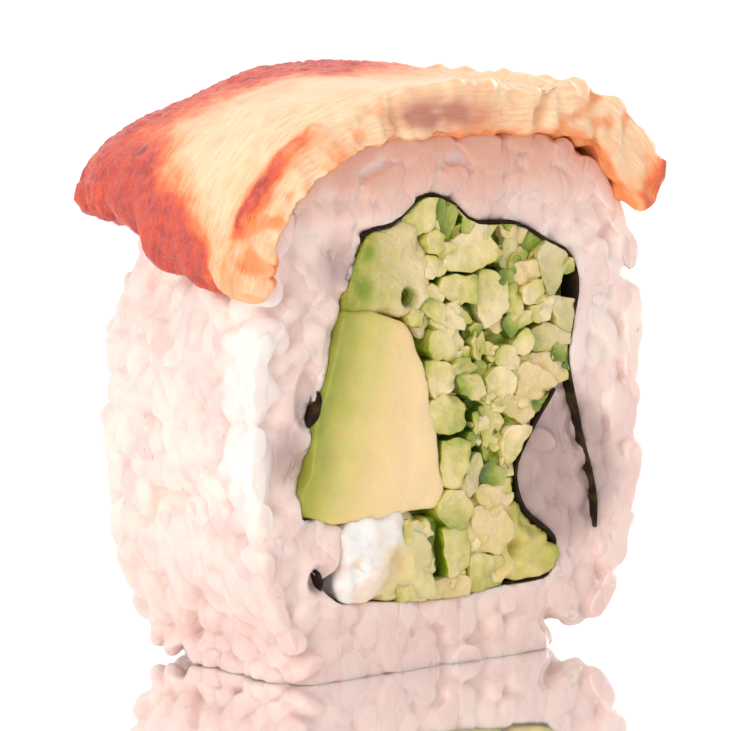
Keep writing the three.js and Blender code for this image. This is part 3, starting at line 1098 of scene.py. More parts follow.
    def build_loose(self, random: np.random.Generator) -> None:
        """Lays single grains over the mass, whole enough to be told apart.

        Args:
            random: the source of unevenness.
        """
        material = RiceFinish(Moist(0.4, 0.12, 0.5, wet=0.15, wet_roughness=0.25)).material()
        pattern = self.grain("loose_pattern", 2)
        total = sum(len(centre) for centre in self.places.centre)
        pick = np.where(random.uniform(0, 1, total) < self.loose_share)[0]
        loose = self.places.spread("rice_grains", pattern, pick)
        discard(pattern)
        put_points(loose, self.pressed(points_of(loose)))
        hand_over(loose, material, "rice")


# ---------------------------------------------------------------- nori


@dataclass(frozen=True)
class NoriFinish:
    """Moist seaweed: nearly black, olive where light comes through."""

    moist: Moist = Moist(0.75, 0.0, 0.1, specular=0.15)
    black: Colour = shade_of(34, 24, 18)
    olive: Colour = shade_of(62, 52, 22)

    def material(self) -> bpy.types.Material:
        """Dark patches with a crinkled surface."""
        recipe = Recipe("moist_nori")
        patches = recipe.fade(recipe.cloud(1.2, 3.0), 0.45, 0.7)
        colour = recipe.blend(patches, self.black, self.olive)
        return recipe.served(colour, self.moist, recipe.relief(recipe.cloud(0.4, 3.0), 0.1))


@dataclass
class Nori:
    """The wound sheet of nori."""

    thickness: float = 0.28
    rows: int = 24
    edge_wave: float = 0.25
    crinkle: float = 0.12
    rounded_edge: float = 0.08
    set_back: float = 0.35
    lap_set_out: float = 0.3
    covered_set_back: float = 2.3
    finish: NoriFinish = NoriFinish()

    def build(self) -> None:
        """Winds a flat grid along the roll's spiral and gives it its thickness."""
        bpy.ops.object.select_all(action="DESELECT")
        columns = 2 * ROLL.nori_steps
        bpy.ops.mesh.primitive_grid_add(x_subdivisions=columns, y_subdivisions=self.rows, size=1.0)
        piece = bpy.context.active_object
        piece.name = "nori_sheet"
        flat = points_of(piece)
        line = ROLL.nori_line()
        number = (flat[:, 0] + 0.5) * ROLL.nori_steps
        wave = ripple(np.stack([number, 30 * flat[:, 1], 0 * number], axis=1), 3.0, 5.0)
        middle = sideways(line, 0.0)
        side = sideways(line, 1.0) - middle
        count = np.arange(len(line))
        crinkle = self.crinkle * wave
        x, z = (
            np.interp(number, count, middle[:, k]) + crinkle * np.interp(number, count, side[:, k])
            for k in (0, 1)
        )
        in_lap = 1 - smooth(15.0, 20.0, number) * (1 - 0.5 * smooth(94.0, 99.0, number))
        below_rice = (self.covered_set_back - self.set_back) * ROLL.covered(x, z)
        set_back = self.set_back - self.lap_set_out * in_lap + below_rice
        reach = ROLL.half_length - set_back + self.edge_wave * (wave - 0.4)
        put_points(piece, np.stack([x, 2 * flat[:, 1] * reach, z], axis=1))
        modify(piece, "SOLIDIFY", thickness=self.thickness, offset=0.0)
        modify(piece, "BEVEL", width=self.rounded_edge, segments=2)
        hand_over(piece, self.finish.material(), "nori", "nori")


# ---------------------------------------------------------------- avocado and cream cheese


@dataclass(frozen=True)
class AvocadoFinish:
    """Ripe avocado: green next to its skin, creamy yellow inside."""

    name: str
    direction: tuple[float, float, float]
    start: tuple[float, float, float]
    reach: float
    patches: float = 0.1
    crumble: float = 0.02
    green_spots: tuple[tuple[tuple[float, float, float], float], ...] = ()
    moist: Moist = Moist(0.45, 0.5, 0.7, (1.0, 0.8, 0.5), wet=0.1, wet_roughness=0.3)
    skin: Colour = shade_of(142, 152, 48)
    green: Colour = shade_of(186, 182, 80)
    lime: Colour = shade_of(218, 206, 124)
    yellow: Colour = shade_of(240, 214, 150)
    cream: Colour = shade_of(250, 220, 170)
    bruise: Colour = shade_of(222, 180, 110)
    # Vivid green of the green spots; inside the mash's hollow it is painted shade.
    vivid: Colour = shade_of(132, 154, 12)

    def material(self) -> bpy.types.Material:
        """Bands of colour from the skin inwards, with a faint bruise here and there."""
        recipe = Recipe(self.name)
        depth = recipe.along(self.direction, self.start)
        depth = recipe.sum_of(depth, recipe.cloud(2.2, 4.0), self.patches * self.reach)
        depth = recipe.sum_of(depth, 1.0, -0.5 * self.patches * self.reach)
        share = recipe.product(depth, 1.0 / self.reach)
        tones = (self.skin, self.green, self.lime, self.yellow, self.cream)
        colour = recipe.scale(share, list(zip((0.06, 0.2, 0.38, 0.58, 0.85), tones)))
        bruises = recipe.fade(recipe.cloud(2.2, 2.0), 0.62, 0.8, 0.5)
        colour = recipe.blend(bruises, colour, self.bruise)
        for centre, size in self.green_spots:
            patchy = recipe.fade(recipe.cloud(0.8, 3.0), 0.22, 0.45)
            spot = recipe.product(recipe.near(centre, 0.4 * size, 1.5 * size), patchy)
            colour = recipe.blend(spot, colour, self.vivid)
        relief = recipe.relief(recipe.cloud(2.0, 3.0), 0.12)
        relief = recipe.relief(recipe.cloud(0.5, 4.0), self.crumble, relief)
        return recipe.served(colour, self.moist, relief)


@dataclass(frozen=True)
class CreamCheeseFinish:
    """Cream cheese: bright white, faintly lilac in its folds."""

    moist: Moist = Moist(0.35, 0.8, 1.5, (1.0, 0.8, 0.7), wet=0.1)
    white: Colour = shade_of(255, 253, 250)
    lilac: Colour = shade_of(248, 226, 218)
    stained: Colour = shade_of(222, 208, 140)
    brown: Colour = shade_of(226, 184, 140)

    def material(self) -> bpy.types.Material:
        """White with stains from the fillings around it."""
        recipe = Recipe("cream_cheese")
        colour = recipe.blend(recipe.fade(recipe.cloud(3.0), 0.42, 0.62), self.white, self.lilac)
        stain = recipe.along((0.8, 0.0, -0.6), (-8.0, 0.0, 11.0))
        stain = recipe.fade(recipe.sum_of(stain, recipe.cloud(2.5, 3.0), 4.0), 2.2, 5.5, 0.9)
        colour = recipe.blend(stain, colour, self.stained)
        for centre, size in (((-9.9, -11.0, 9.3), 2.0), ((-6.4, -11.0, 9.7), 1.8)):
            patchy = recipe.fade(recipe.cloud(0.9, 3.0), 0.35, 0.6, 0.6)
            spot = recipe.product(recipe.near(centre, 0.0, size), patchy)
            colour = recipe.blend(spot, colour, self.brown)
        return recipe.served(colour, self.moist, recipe.relief(recipe.cloud(1.2, 3.0), 0.25))


@dataclass(frozen=True)
class Nudge:
    """A soft push on a filling: its middle as (x, z), how wide it is and how far it goes as (x, z)."""

    middle: tuple[float, float]
    width: float
    push: tuple[float, float]


@dataclass(frozen=True)
class Hollow:
    """A round hole in a filling's front: its middle as (x, z), its radius and its depth."""

    middle: tuple[float, float]
    radius: float
    depth: float


@dataclass
class SoftFilling:
    """A soft filling that runs through the roll, reshaped from its CAD solid."""

    name: str
    node: str
    slot: str
    finish: AvocadoFinish | CreamCheeseFinish
    lump_size: float
    lump_height: float
    swell: float = 0.35
    voxel: float = 0.3
    wall_gap: float = 0.17
    set_back: float = 0.0
    hollows: tuple[Hollow, ...] = ()
    nudges: tuple[Nudge, ...] = ()
    rounding: int = 4

    def build(self) -> None:
        """Rounds the solid, makes it lumpy and presses its hollows into the front."""
        piece = take_copy(cad_nodes()[self.node], self.name)
        modify(piece, "REMESH", mode="VOXEL", voxel_size=self.voxel)
        modify(piece, "SMOOTH", factor=0.5, iterations=2)
        shape = points_of(piece)
        normal = normals_of(piece)
        shape[:, [0, 2]] += self.swell * normal[:, [0, 2]]
        for nudge in self.nudges:
            share = round_spot(shape[:, 0], shape[:, 2], nudge.middle, nudge.width)
            shape[:, [0, 2]] += share[:, None] * nudge.push
        lumps = self.lump_height * ripple(shape, self.lump_size, 2.0)
        lumps += 0.35 * self.lump_height * ripple(shape, self.lump_size / 2.6, 4.0)
        shape += normals_of(piece) * lumps[:, None]
        near_front = smooth(7.0, 10.0, -shape[:, 1])
        shape[:, 1] *= 1.0 - self.set_back / ROLL.half_length
        for hollow in self.hollows:
            away = np.hypot(shape[:, 0] - hollow.middle[0], shape[:, 2] - hollow.middle[1])
            inside = 1 - smooth(0.6 * hollow.radius, hollow.radius, away)
            shape[:, 1] += hollow.depth * inside * near_front
        put_points(piece, held_in(shape, ROLL.room(self.wall_gap)))
        modify(piece, "SMOOTH", factor=0.5, iterations=self.rounding)
        hand_over(piece, self.finish.material(), self.slot, self.node)


# ---------------------------------------------------------------- cucumber


class Flesh(Enum):
    """Kinds of cucumber: how green its end and its sides are, how warm it is and how grey, from 0 to 1. The
    green is partly painted shade: on the sides, and all over the end of a stick that lies deep.
    """

    PALE = (0.12, 0.42, 0.0, 0.0)
    YOUNG = (0.32, 0.62, 0.0, 0.0)
    BRIGHT = (0.62, 0.85, 0.0, 0.0)
    # A dark green end, painted as the shade on a stick that lies deep behind its neighbours.
    DEEP = (0.9, 1.0, 0.0, 0.0)
    SKINNED = (0.26, 1.1, 0.0, 0.0)
    GLASSY = (0.2, 0.5, 0.0, 0.8)
    PEACH = (0.08, 0.3, 1.0, 0.0)


@dataclass(frozen=True)
class Stick:
    """One stick of cucumber: its kind, how far its end lies behind the cut and its outline as (x, z)."""

    flesh: Flesh
    recess: float
    outline: Outline


STICKS = (
    Stick(Flesh.YOUNG, 0.3, (
        (-5.3, 37.2), (-4.4, 39.1), (-3.2, 39.8), (-1.9, 39.7), (-2.2, 37.4), (-4.6, 36.7),
    )),
    Stick(Flesh.BRIGHT, 0.5, (
        (-1.9, 39.7), (-0.4, 39.5), (0.2, 38.9), (0.0, 36.2), (-0.6, 35.8), (-2.2, 37.4),
    )),
    Stick(Flesh.SKINNED, 0.3, ((0.9, 38.4), (2.0, 38.3), (2.7, 37.3), (1.7, 36.9), (0.9, 36.9))),
    Stick(Flesh.PALE, 0.0, (
        (-0.2, 36.0), (2.6, 37.1), (3.5, 37.0), (4.9, 35.0), (4.5, 34.3), (2.9, 33.6), (-0.9, 33.5),
    )),
    Stick(Flesh.YOUNG, 0.1, (
        (-3.1, 36.6), (-1.9, 37.2), (-1.1, 36.5), (-0.8, 35.4), (-1.4, 34.9), (-2.5, 35.3),
    )),
    Stick(Flesh.PALE, 0.4, (
        (-2.8, 35.3), (-2.0, 35.0), (-1.8, 34.2), (-2.3, 33.2), (-3.0, 33.3), (-3.2, 34.3),
    )),
    Stick(Flesh.DEEP, 1.0, ((3.9, 36.9), (5.8, 37.0), (5.9, 36.0), (5.2, 34.8), (4.5, 34.8))),
    Stick(Flesh.GLASSY, 0.5, (
        (5.9, 36.9), (6.6, 37.0), (7.2, 36.6), (7.1, 34.6), (6.6, 33.0), (5.8, 32.7), (5.4, 34.2),
    )),
    Stick(Flesh.BRIGHT, 0.7, (
        (7.1, 36.6), (8.4, 36.7), (9.4, 36.2), (10.1, 35.2), (9.3, 34.2), (7.1, 34.4),
    )),
    Stick(Flesh.GLASSY, 0.1, (
        (9.4, 34.4), (10.4, 35.1), (12.4, 34.2), (13.0, 33.1), (11.4, 31.2), (10.7, 30.6), (9.8, 33),
    )),
    Stick(Flesh.PEACH, 0.3, ((6.1, 32.7), (7.0, 33.7), (9.2, 34.0), (9.9, 32.9), (8.9, 32.3), (7.2, 31.9))),
    Stick(Flesh.PALE, -0.1, (
        (7.9, 31.6), (9.0, 32.3), (10.0, 32.2), (10.4, 31.1), (9.6, 30.4), (8.7, 30.0), (8.0, 30.6),
    )),
    Stick(Flesh.PALE, 0.2, (
        (2.8, 33.2), (4.4, 33.5), (5.8, 32.6), (6.3, 31.4), (6.0, 30.0), (4.9, 29.0), (3.6, 28.6), (2.8, 30),
    )),
    Stick(Flesh.YOUNG, 0.3, ((6.4, 32.2), (7.6, 31.9), (7.9, 30.8), (7.4, 29.4), (6.7, 28.9), (6.2, 29.8))),
    Stick(Flesh.PALE, 0.1, (
        (8.8, 29.9), (10.3, 30.4), (11.3, 29.9), (10.9, 28.8), (9.8, 28.5), (8.9, 28.9),
    )),
    Stick(Flesh.YOUNG, 0.2, ((7.1, 29.7), (8.7, 29.8), (8.8, 28.6), (8.0, 28.3), (7.1, 28.1), (6.8, 28.8))),
    Stick(Flesh.GLASSY, 0.3, (
        (10.9, 30.5), (12.0, 30.6), (13.5, 30.3), (13.5, 29.0), (13.0, 27.4), (11.6, 28.4),
    )),
    Stick(Flesh.SKINNED, 0.0, (
        (-0.9, 33.1), (2.6, 33.2), (2.8, 32.0), (2.6, 30.8), (1.0, 30.8), (-0.5, 31.3), (-1.2, 32.2),
    )),
    Stick(Flesh.DEEP, 1.1, ((0.2, 30.7), (2.8, 30.6), (3.1, 29.4), (2.2, 28.6), (1.0, 29.2), (0.2, 30.0))),
    Stick(Flesh.PALE, 0.0, (
        (-3.6, 30.6), (-2.3, 31.6), (-1.0, 30.8), (1.0, 29.6), (1.8, 28.6), (0.6, 28.6), (-1.5, 29.4),
    )),
    Stick(Flesh.DEEP, 1.5, ((-4.0, 29.9), (-1.8, 29.8), (-0.4, 29.1), (-2.6, 28.4))),
    Stick(Flesh.PALE, 0.3, (
        (-2.4, 28.6), (-0.8, 29.1), (0.8, 28.5), (1.4, 27.2), (0.8, 26.2), (-1.4, 26.1), (-2.8, 27.2),
    )),
    Stick(Flesh.DEEP, 0.9, ((1.1, 28.5), (2.3, 29.2), (3.0, 28.4), (2.4, 27.0), (1.4, 26.6))),
    Stick(Flesh.YOUNG, 0.1, (
        (2.6, 28.5), (3.4, 28.4), (3.8, 27.4), (3.6, 26.6), (2.8, 25.9), (2.2, 26.2), (2.2, 27.4),
    )),
    Stick(Flesh.BRIGHT, 1.3, ((3.4, 28.5), (4.9, 29.0), (6.4, 28.7), (6.9, 27.6), (6.0, 26.7), (4.3, 26.9))),
    Stick(Flesh.PALE, 0.0, ((7.0, 27.2), (8.2, 28.1), (9.1, 27.2), (8.9, 26.2), (8.0, 25.9), (6.9, 26.4))),
    Stick(Flesh.PALE, 0.1, (
        (4.9, 26.3), (6.0, 26.9), (7.0, 26.7), (7.9, 25.5), (7.3, 24.9), (5.9, 24.9), (5.0, 25.5),
    )),
    Stick(Flesh.GLASSY, 0.5, (
        (9.1, 28.0), (10.4, 28.6), (12.8, 27.5), (12.8, 26.8), (10.8, 26.1), (9.2, 26.1),
    )),
    Stick(Flesh.BRIGHT, 0.3, ((10.9, 26.6), (12.2, 26.7), (13.1, 26.0), (12.8, 25.0), (11.4, 25.1))),
    Stick(Flesh.PEACH, 0.5, (
        (8.5, 25.9), (10.8, 26.0), (11.6, 25.1), (13.0, 24.8), (12.6, 23.2), (10.4, 24.2), (8.6, 25.1),
    )),
    Stick(Flesh.BRIGHT, 1.2, ((3.8, 26.8), (4.9, 26.5), (5.4, 25.0), (4.6, 24.2), (2.9, 25.0))),
    Stick(Flesh.YOUNG, 0.1, (
        (0.0, 25.5), (0.7, 26.1), (2.0, 26.0), (2.9, 25.4), (2.4, 24.9), (1.2, 24.6), (0.3, 24.8),
    )),
    Stick(Flesh.PALE, 0.3, (
        (-2.8, 26.3), (-1.0, 26.0), (0.1, 25.2), (0.0, 23.8), (-1.8, 22.8), (-2.6, 24.2),
    )),
    Stick(Flesh.SKINNED, -0.1, (
        (0.7, 24.6), (2.7, 24.8), (3.7, 23.9), (3.8, 23.0), (3.1, 22.4), (1.8, 22.8), (0.6, 23.2),
    )),
    Stick(Flesh.PALE, 0.2, (
        (3.9, 24.2), (4.9, 25.1), (6.4, 24.8), (7.0, 24.0), (6.8, 22.9), (5.4, 21.8), (4.3, 21.7),
    )),
    Stick(Flesh.PEACH, 0.3, (
        (7.1, 24.6), (8.2, 25.3), (10.9, 24.0), (12.7, 22.8), (11.8, 21.9), (8.8, 21.6), (7.1, 22.6),
    )),
    Stick(Flesh.YOUNG, 0.2, (
        (-2.2, 22.8), (0.0, 23.1), (1.5, 22.4), (1.4, 21.2), (1.0, 20.1), (-1.8, 19.9), (-2.4, 21.0),
    )),
    Stick(Flesh.DEEP, 1.4, ((1.4, 22.6), (3.8, 22.7), (4.0, 21.4), (2.8, 20.9), (1.4, 21.3))),
    Stick(Flesh.SKINNED, 0.3, (
        (2.2, 21.4), (2.7, 21.4), (3.0, 20.4), (3.3, 19.0), (3.0, 18.4), (2.3, 19.2),
    )),
    Stick(Flesh.YOUNG, 0.4, (
        (3.1, 21.6), (4.2, 22.2), (5.0, 21.5), (5.4, 20.4), (4.9, 18.8), (3.6, 18.2), (3.3, 19.8),
    )),
    Stick(Flesh.PEACH, 0.2, (
        (5.2, 21.8), (6.4, 22.8), (8.0, 22.1), (9.9, 21.6), (10.2, 20.9), (8.0, 20.1), (6.2, 20.9),
    )),
    Stick(Flesh.BRIGHT, 0.8, ((5.2, 20.5), (6.4, 20.8), (7.8, 20.3), (7.0, 19.7), (5.4, 19.6))),
    Stick(Flesh.PALE, -0.2, (
        (6.0, 19.6), (7.4, 20.0), (8.8, 19.8), (9.0, 18.9), (7.4, 17.0), (6.3, 16.6), (5.7, 17.8),
    )),
    Stick(Flesh.BRIGHT, 0.7, ((3.4, 19.0), (4.8, 19.4), (5.7, 19.2), (5.5, 17.4), (4.6, 16.7), (3.3, 17.4))),
    Stick(Flesh.SKINNED, 0.0, (
        (-1.0, 19.2), (0.8, 19.3), (2.0, 18.9), (1.6, 16.6), (0.6, 15.1), (-0.6, 15.2), (-1.2, 16.8),
    )),
    Stick(Flesh.GLASSY, 0.2, ((1.9, 17.7), (3.0, 17.8), (3.5, 17.0), (3.0, 14.8), (1.9, 14.2), (1.2, 15.2))),
    Stick(Flesh.BRIGHT, 0.0, ((3.4, 16.9), (4.6, 16.9), (6.1, 16.3), (6.1, 15.5), (4.9, 15.0), (3.6, 15.5))),
    Stick(Flesh.PEACH, 0.2, (
        (2.9, 14.6), (3.8, 15.2), (5.6, 14.9), (7.0, 14.1), (6.2, 13.2), (4.0, 13.2), (3.0, 13.8),
    )),
    Stick(Flesh.YOUNG, 0.1, (
        (-0.8, 15.0), (1.0, 14.9), (2.5, 13.5), (2.2, 12.5), (1.2, 11.6), (0.0, 11.7), (-1.8, 13.2),
    )),
    Stick(Flesh.PEACH, 0.2, (
        (2.6, 13.4), (5.2, 13.1), (6.4, 12.0), (6.8, 10.6), (5.2, 9.2), (3.6, 9.3), (2.4, 10.2),
    )),
    Stick(Flesh.SKINNED, 0.3, (
        (-1.0, 11.9), (0.0, 11.8), (1.9, 11.9), (2.1, 10.2), (1.8, 8.6), (0.8, 7.6), (-0.8, 7.7),
    )),
    Stick(Flesh.BRIGHT, 1.4, (
        (-3.8, 13.2), (-1.4, 13.2), (-0.8, 11.6), (-1.2, 8.6), (-2.8, 8.6), (-3.3, 10.6),
    )),
    Stick(Flesh.PALE, 0.3, (
        (-5.2, 12.9), (-4.0, 12.9), (-3.1, 12.1), (-3.0, 11.1), (-3.8, 10.2), (-5.4, 10.8),
    )),
    Stick(Flesh.PALE, 0.4, (
        (-5.6, 10.4), (-3.6, 10.1), (-2.5, 8.8), (-2.3, 7.0), (-3.6, 6.3), (-6.0, 6.7), (-6.4, 8.8),
    )),
    Stick(Flesh.PEACH, 0.3, ((-2.4, 7.4), (0.8, 7.6), (2.2, 7.2), (1.6, 6.1), (-2.2, 6.1))),
    Stick(Flesh.YOUNG, 0.4, (
        (2.0, 9.4), (3.6, 9.1), (5.6, 8.9), (6.4, 7.6), (4.4, 6.2), (2.0, 6.2), (1.7, 7.8),
    )),
)


@dataclass(frozen=True)
class CucumberFinish:
    """Cut cucumber: wet and see-through, pale inside and green at the skin, with painted shade in darker
    green.
    """

    moist: Moist = Moist(0.3, 0.3, 0.3, (1.0, 0.95, 0.6), wet=0.35, wet_roughness=0.15)
    pale: Colour = shade_of(240, 222, 172)
    young: Colour = shade_of(210, 201, 110)
    bright: Colour = shade_of(134, 156, 20)
    # Darkest green: the skin's own, and the painted shade of the core and of deep-lying sticks.
    skin: Colour = shade_of(72, 98, 2)
    peach: Colour = shade_of(228, 196, 136)
    glassy: Colour = shade_of(200, 190, 146)

    def material(self) -> bpy.types.Material:
        """Colour by how green, warm and grey each stick is, the green partly painted shade, with a fine wet
        grain.
        """
        recipe = Recipe("cut_cucumber")
        green = recipe.sum_of(recipe.kept("green"), recipe.cloud(1.1, 4.0), 0.6)
        green = recipe.sum_of(green, 1.0, -0.3)
        stops = [(0.05, self.pale), (0.38, self.young), (0.68, self.bright), (0.98, self.skin)]
        colour = recipe.scale(green, stops)
        colour = recipe.blend(recipe.product(recipe.kept("peach"), 0.45), colour, self.peach)
        colour = recipe.blend(recipe.product(recipe.kept("glassy"), 0.55), colour, self.glassy)
        relief = recipe.relief(recipe.cloud(0.9, 4.0), 0.3)
        relief = recipe.relief(recipe.cells(0.35), 0.04, relief)
        return recipe.served(colour, self.moist, relief)


@dataclass
class Cucumber:
    """The bundle of cucumber sticks over a darker, shorter core, whose dark green is painted shade in the
    gaps between the sticks.

    A stick's end that lies behind the cut is moved aside by seen_shift a millimetre, so that it shows at its
    outline from the left. width, depth and the side green run from the tip of a stick's end to its middle;
    the side green is partly the flesh's own and partly painted shade.
    """

    core_end: float = 9.0
    # How green the core is: painted shade, seen in the gaps between the sticks.
    gap_shade_green: float = 0.95
    sides: int = 32
    growth: float = 0.1
    raggedness: float = 0.16
    wall_gap: float = 0.17
    lap_gap: float = 0.5
    core_voxel: float = 0.5
    crumbs: int = 74
    seen_shift: tuple[float, float] = (0.82, -0.16)
    roughness: tuple[float, float, float] = (0.09, 0.24, 0.09)
    width: tuple[float, ...] = (0.0, 0.24, 0.46, 0.66, 0.82, 0.94, 0.99, 1.0, 1.0, 1.0, 1.0, 1.0)
    depth: tuple[float, ...] = (0.0, 0.0, 0.0, 0.0, 0.0, 0.0, 0.04, 0.14, 0.5, 1.2, 2.4, 11.0)
    # How green a stick turns towards its sides: partly its own green, partly painted shade.
    side_green_and_shade: tuple[float, ...] = (0.0, 0.0, 0.0, 0.0, 0.05, 0.12, 0.2, 0.4, 0.75, 1.0, 1.0, 1.0)
    finish: CucumberFinish = CucumberFinish()

    def pattern(self) -> bpy.types.Object:
        """Models the stick that is copied: a ball with its poles at the two ends, drawn out later."""
        bpy.ops.object.select_all(action="DESELECT")
        rings = 2 * (len(self.width) - 1)
        bpy.ops.mesh.primitive_uv_sphere_add(segments=self.sides, ring_count=rings, radius=1.0)
        return bpy.context.active_object

    def drawn_out(self, stick: Stick, ball: Points, seed: float) -> tuple[Points, Points]:
        """One copy of the ball, drawn out to a stick.

        Args:
            stick: its outline and kind.
            ball: the ball's vertices.
            seed: sets its unevenness.

        Returns:
            Its vertices and how green each is, painted shade on its sides and across its end included.
        """
        last = len(self.width) - 1
        ring = np.rint(np.arccos(np.clip(ball[:, 2], -1, 1)) * 2 * last / math.pi).astype(int)
        front = ring <= last
        ring = np.where(front, ring, 2 * last - ring)
        width, depth = np.array(self.width)[ring], np.array(self.depth)[ring]
        heading = np.linspace(-math.pi, math.pi, self.sides, endpoint=False)
        outline = np.array(stick.outline)
        reach = reach_of(outline, heading)
        reach = 0.8 * reach + 0.1 * (np.roll(reach, 1) + np.roll(reach, -1)) + self.growth
        ragged = np.stack([np.cos(heading) * reach, np.sin(heading) * reach, 0 * reach + seed], axis=1)
        reach = reach + self.raggedness * ripple(ragged, 0.9, seed)
        angle = np.arctan2(ball[:, 1], ball[:, 0])
        radius = width * np.interp(angle, heading, reach, period=2 * math.pi)
        across, upward = radius * np.cos(angle), radius * np.sin(angle)
        tilt = 0.13 * math.sin(7 * seed) * across + 0.12 * math.cos(5 * seed) * upward
        hollow = 0.25 * math.sin(11 * seed) * (1 - width**2)
        recess = np.where(front, stick.recess, 0.1 + 1.1 * abs(math.sin(3.3 * seed)))
        middle = outline.mean(axis=0) + stick.recess * np.array(self.seen_shift)
        x, z = middle[0] + across, middle[1] + upward
        end = np.maximum(ROLL.half_length - recess - depth + (tilt + hollow) * (depth < 5), 0.0)
        shape = np.stack([x, np.where(front, -end, end), z], axis=1)
        rough = np.stack([ripple(shape, 0.9, seed + k) for k in (0.0, 0.3, 0.6)], axis=1)
        rough = self.roughness * rough
        low, high = stick.flesh.value[:2]
        toward = across * math.cos(2.6 * seed) + upward * math.sin(2.6 * seed)
        shaded = 0.1 * smooth(-0.5, 1.0, -(across + 0.6 * upward) / reach.mean())
        shaded = shaded + 0.2 * toward / reach.mean()
        # Side green is partly the flesh's own and partly painted shade; shaded is painted shade across the
        # end.
        return shape + rough, low + shaded + (high - low) * np.array(self.side_green_and_shade)[ring]

    def crumbled(self) -> list[Stick]:
        """Small bits between the sticks, where their corners meet."""
        random = np.random.default_rng(11)
        kinds = (Flesh.PALE, Flesh.PALE, Flesh.YOUNG, Flesh.YOUNG, Flesh.BRIGHT, Flesh.PEACH)
        bits = []
        for _ in range(self.crumbs):
            near = STICKS[random.integers(len(STICKS))]
            x, z = near.outline[random.integers(len(near.outline))]
            turns = np.linspace(0, 2 * math.pi, 6, endpoint=False) + random.uniform(0, 1)
            reach = random.uniform(0.5, 1.0) * random.uniform(0.7, 1.3, 6)
            outline = tuple(zip(x + 1.2 * reach * np.cos(turns), z + reach * np.sin(turns)))
            bits.append(Stick(kinds[random.integers(len(kinds))], random.uniform(0.15, 0.6), outline))
        return bits

    def build(self) -> None:
        """Makes the sticks and the core."""
        pattern = self.pattern()
        ball, faces = points_of(pattern), faces_of(pattern)
        discard(pattern)
        places, all_faces, tones = [], [], []
        for number, stick in enumerate([*STICKS, *self.crumbled()]):
            shape, green = self.drawn_out(stick, ball, 1.0 + 0.37 * number)
            places.append(shape)
            all_faces += [tuple(v + number * len(ball) for v in face) for face in faces]
            peach, glassy = stick.flesh.value[2:]
            tones.append(np.stack([green, 0 * green + peach, 0 * green + glassy]))
        sticks = new_mesh("cucumber_sticks", self.packed(np.concatenate(places)), all_faces)
        core = self.core()
        material = self.finish.material()
        tone = np.concatenate(tones, axis=1)
        # The core's dark green is painted shade for the gaps.
        core_tone = np.array([self.gap_shade_green, 0.0, 0.0])[:, None] * np.ones(len(points_of(core)))
        for piece, values in ((sticks, tone), (core, core_tone)):
            for name, column in zip(("green", "peach", "glassy"), values):
                record(piece, name, column)
            hand_over(piece, material, "cucumber", "cucumber")

    def packed(self, shape: Points) -> Points:
        """Holds the sticks in the room and draws the outer ones up to the nori, but not by its lap.

        Args:
            shape: the vertices, which are changed.

        Returns:
            The same rows.
        """
        room = ROLL.room(self.wall_gap)
        shape = held_in(shape, room)
        beside, away = nearest_on(shape[:, [0, 2]], room)
        by_lap = (shape[:, 0] > 5.5) & (shape[:, 2] > 9.0) & (shape[:, 2] < 22.5)
        drawn = ((1 - smooth(0.5, 1.1, away)) * ~by_lap)[:, None]
        shape[:, [0, 2]] += drawn * (beside - shape[:, [0, 2]])
        shape[by_lap] = held_in(shape[by_lap], ROLL.room(self.lap_gap))
        return shape

    def core(self) -> bpy.types.Object:
        """The shorter block that the sticks stand out of."""
        core = take_copy(cad_nodes()["cucumber"], "cucumber_core")
        modify(core, "REMESH", mode="VOXEL", voxel_size=self.core_voxel)
        body = points_of(core)
        body[:, 1] = np.clip(body[:, 1], -self.core_end, self.core_end)
        put_points(core, body)
        return core


# ---------------------------------------------------------------- eel


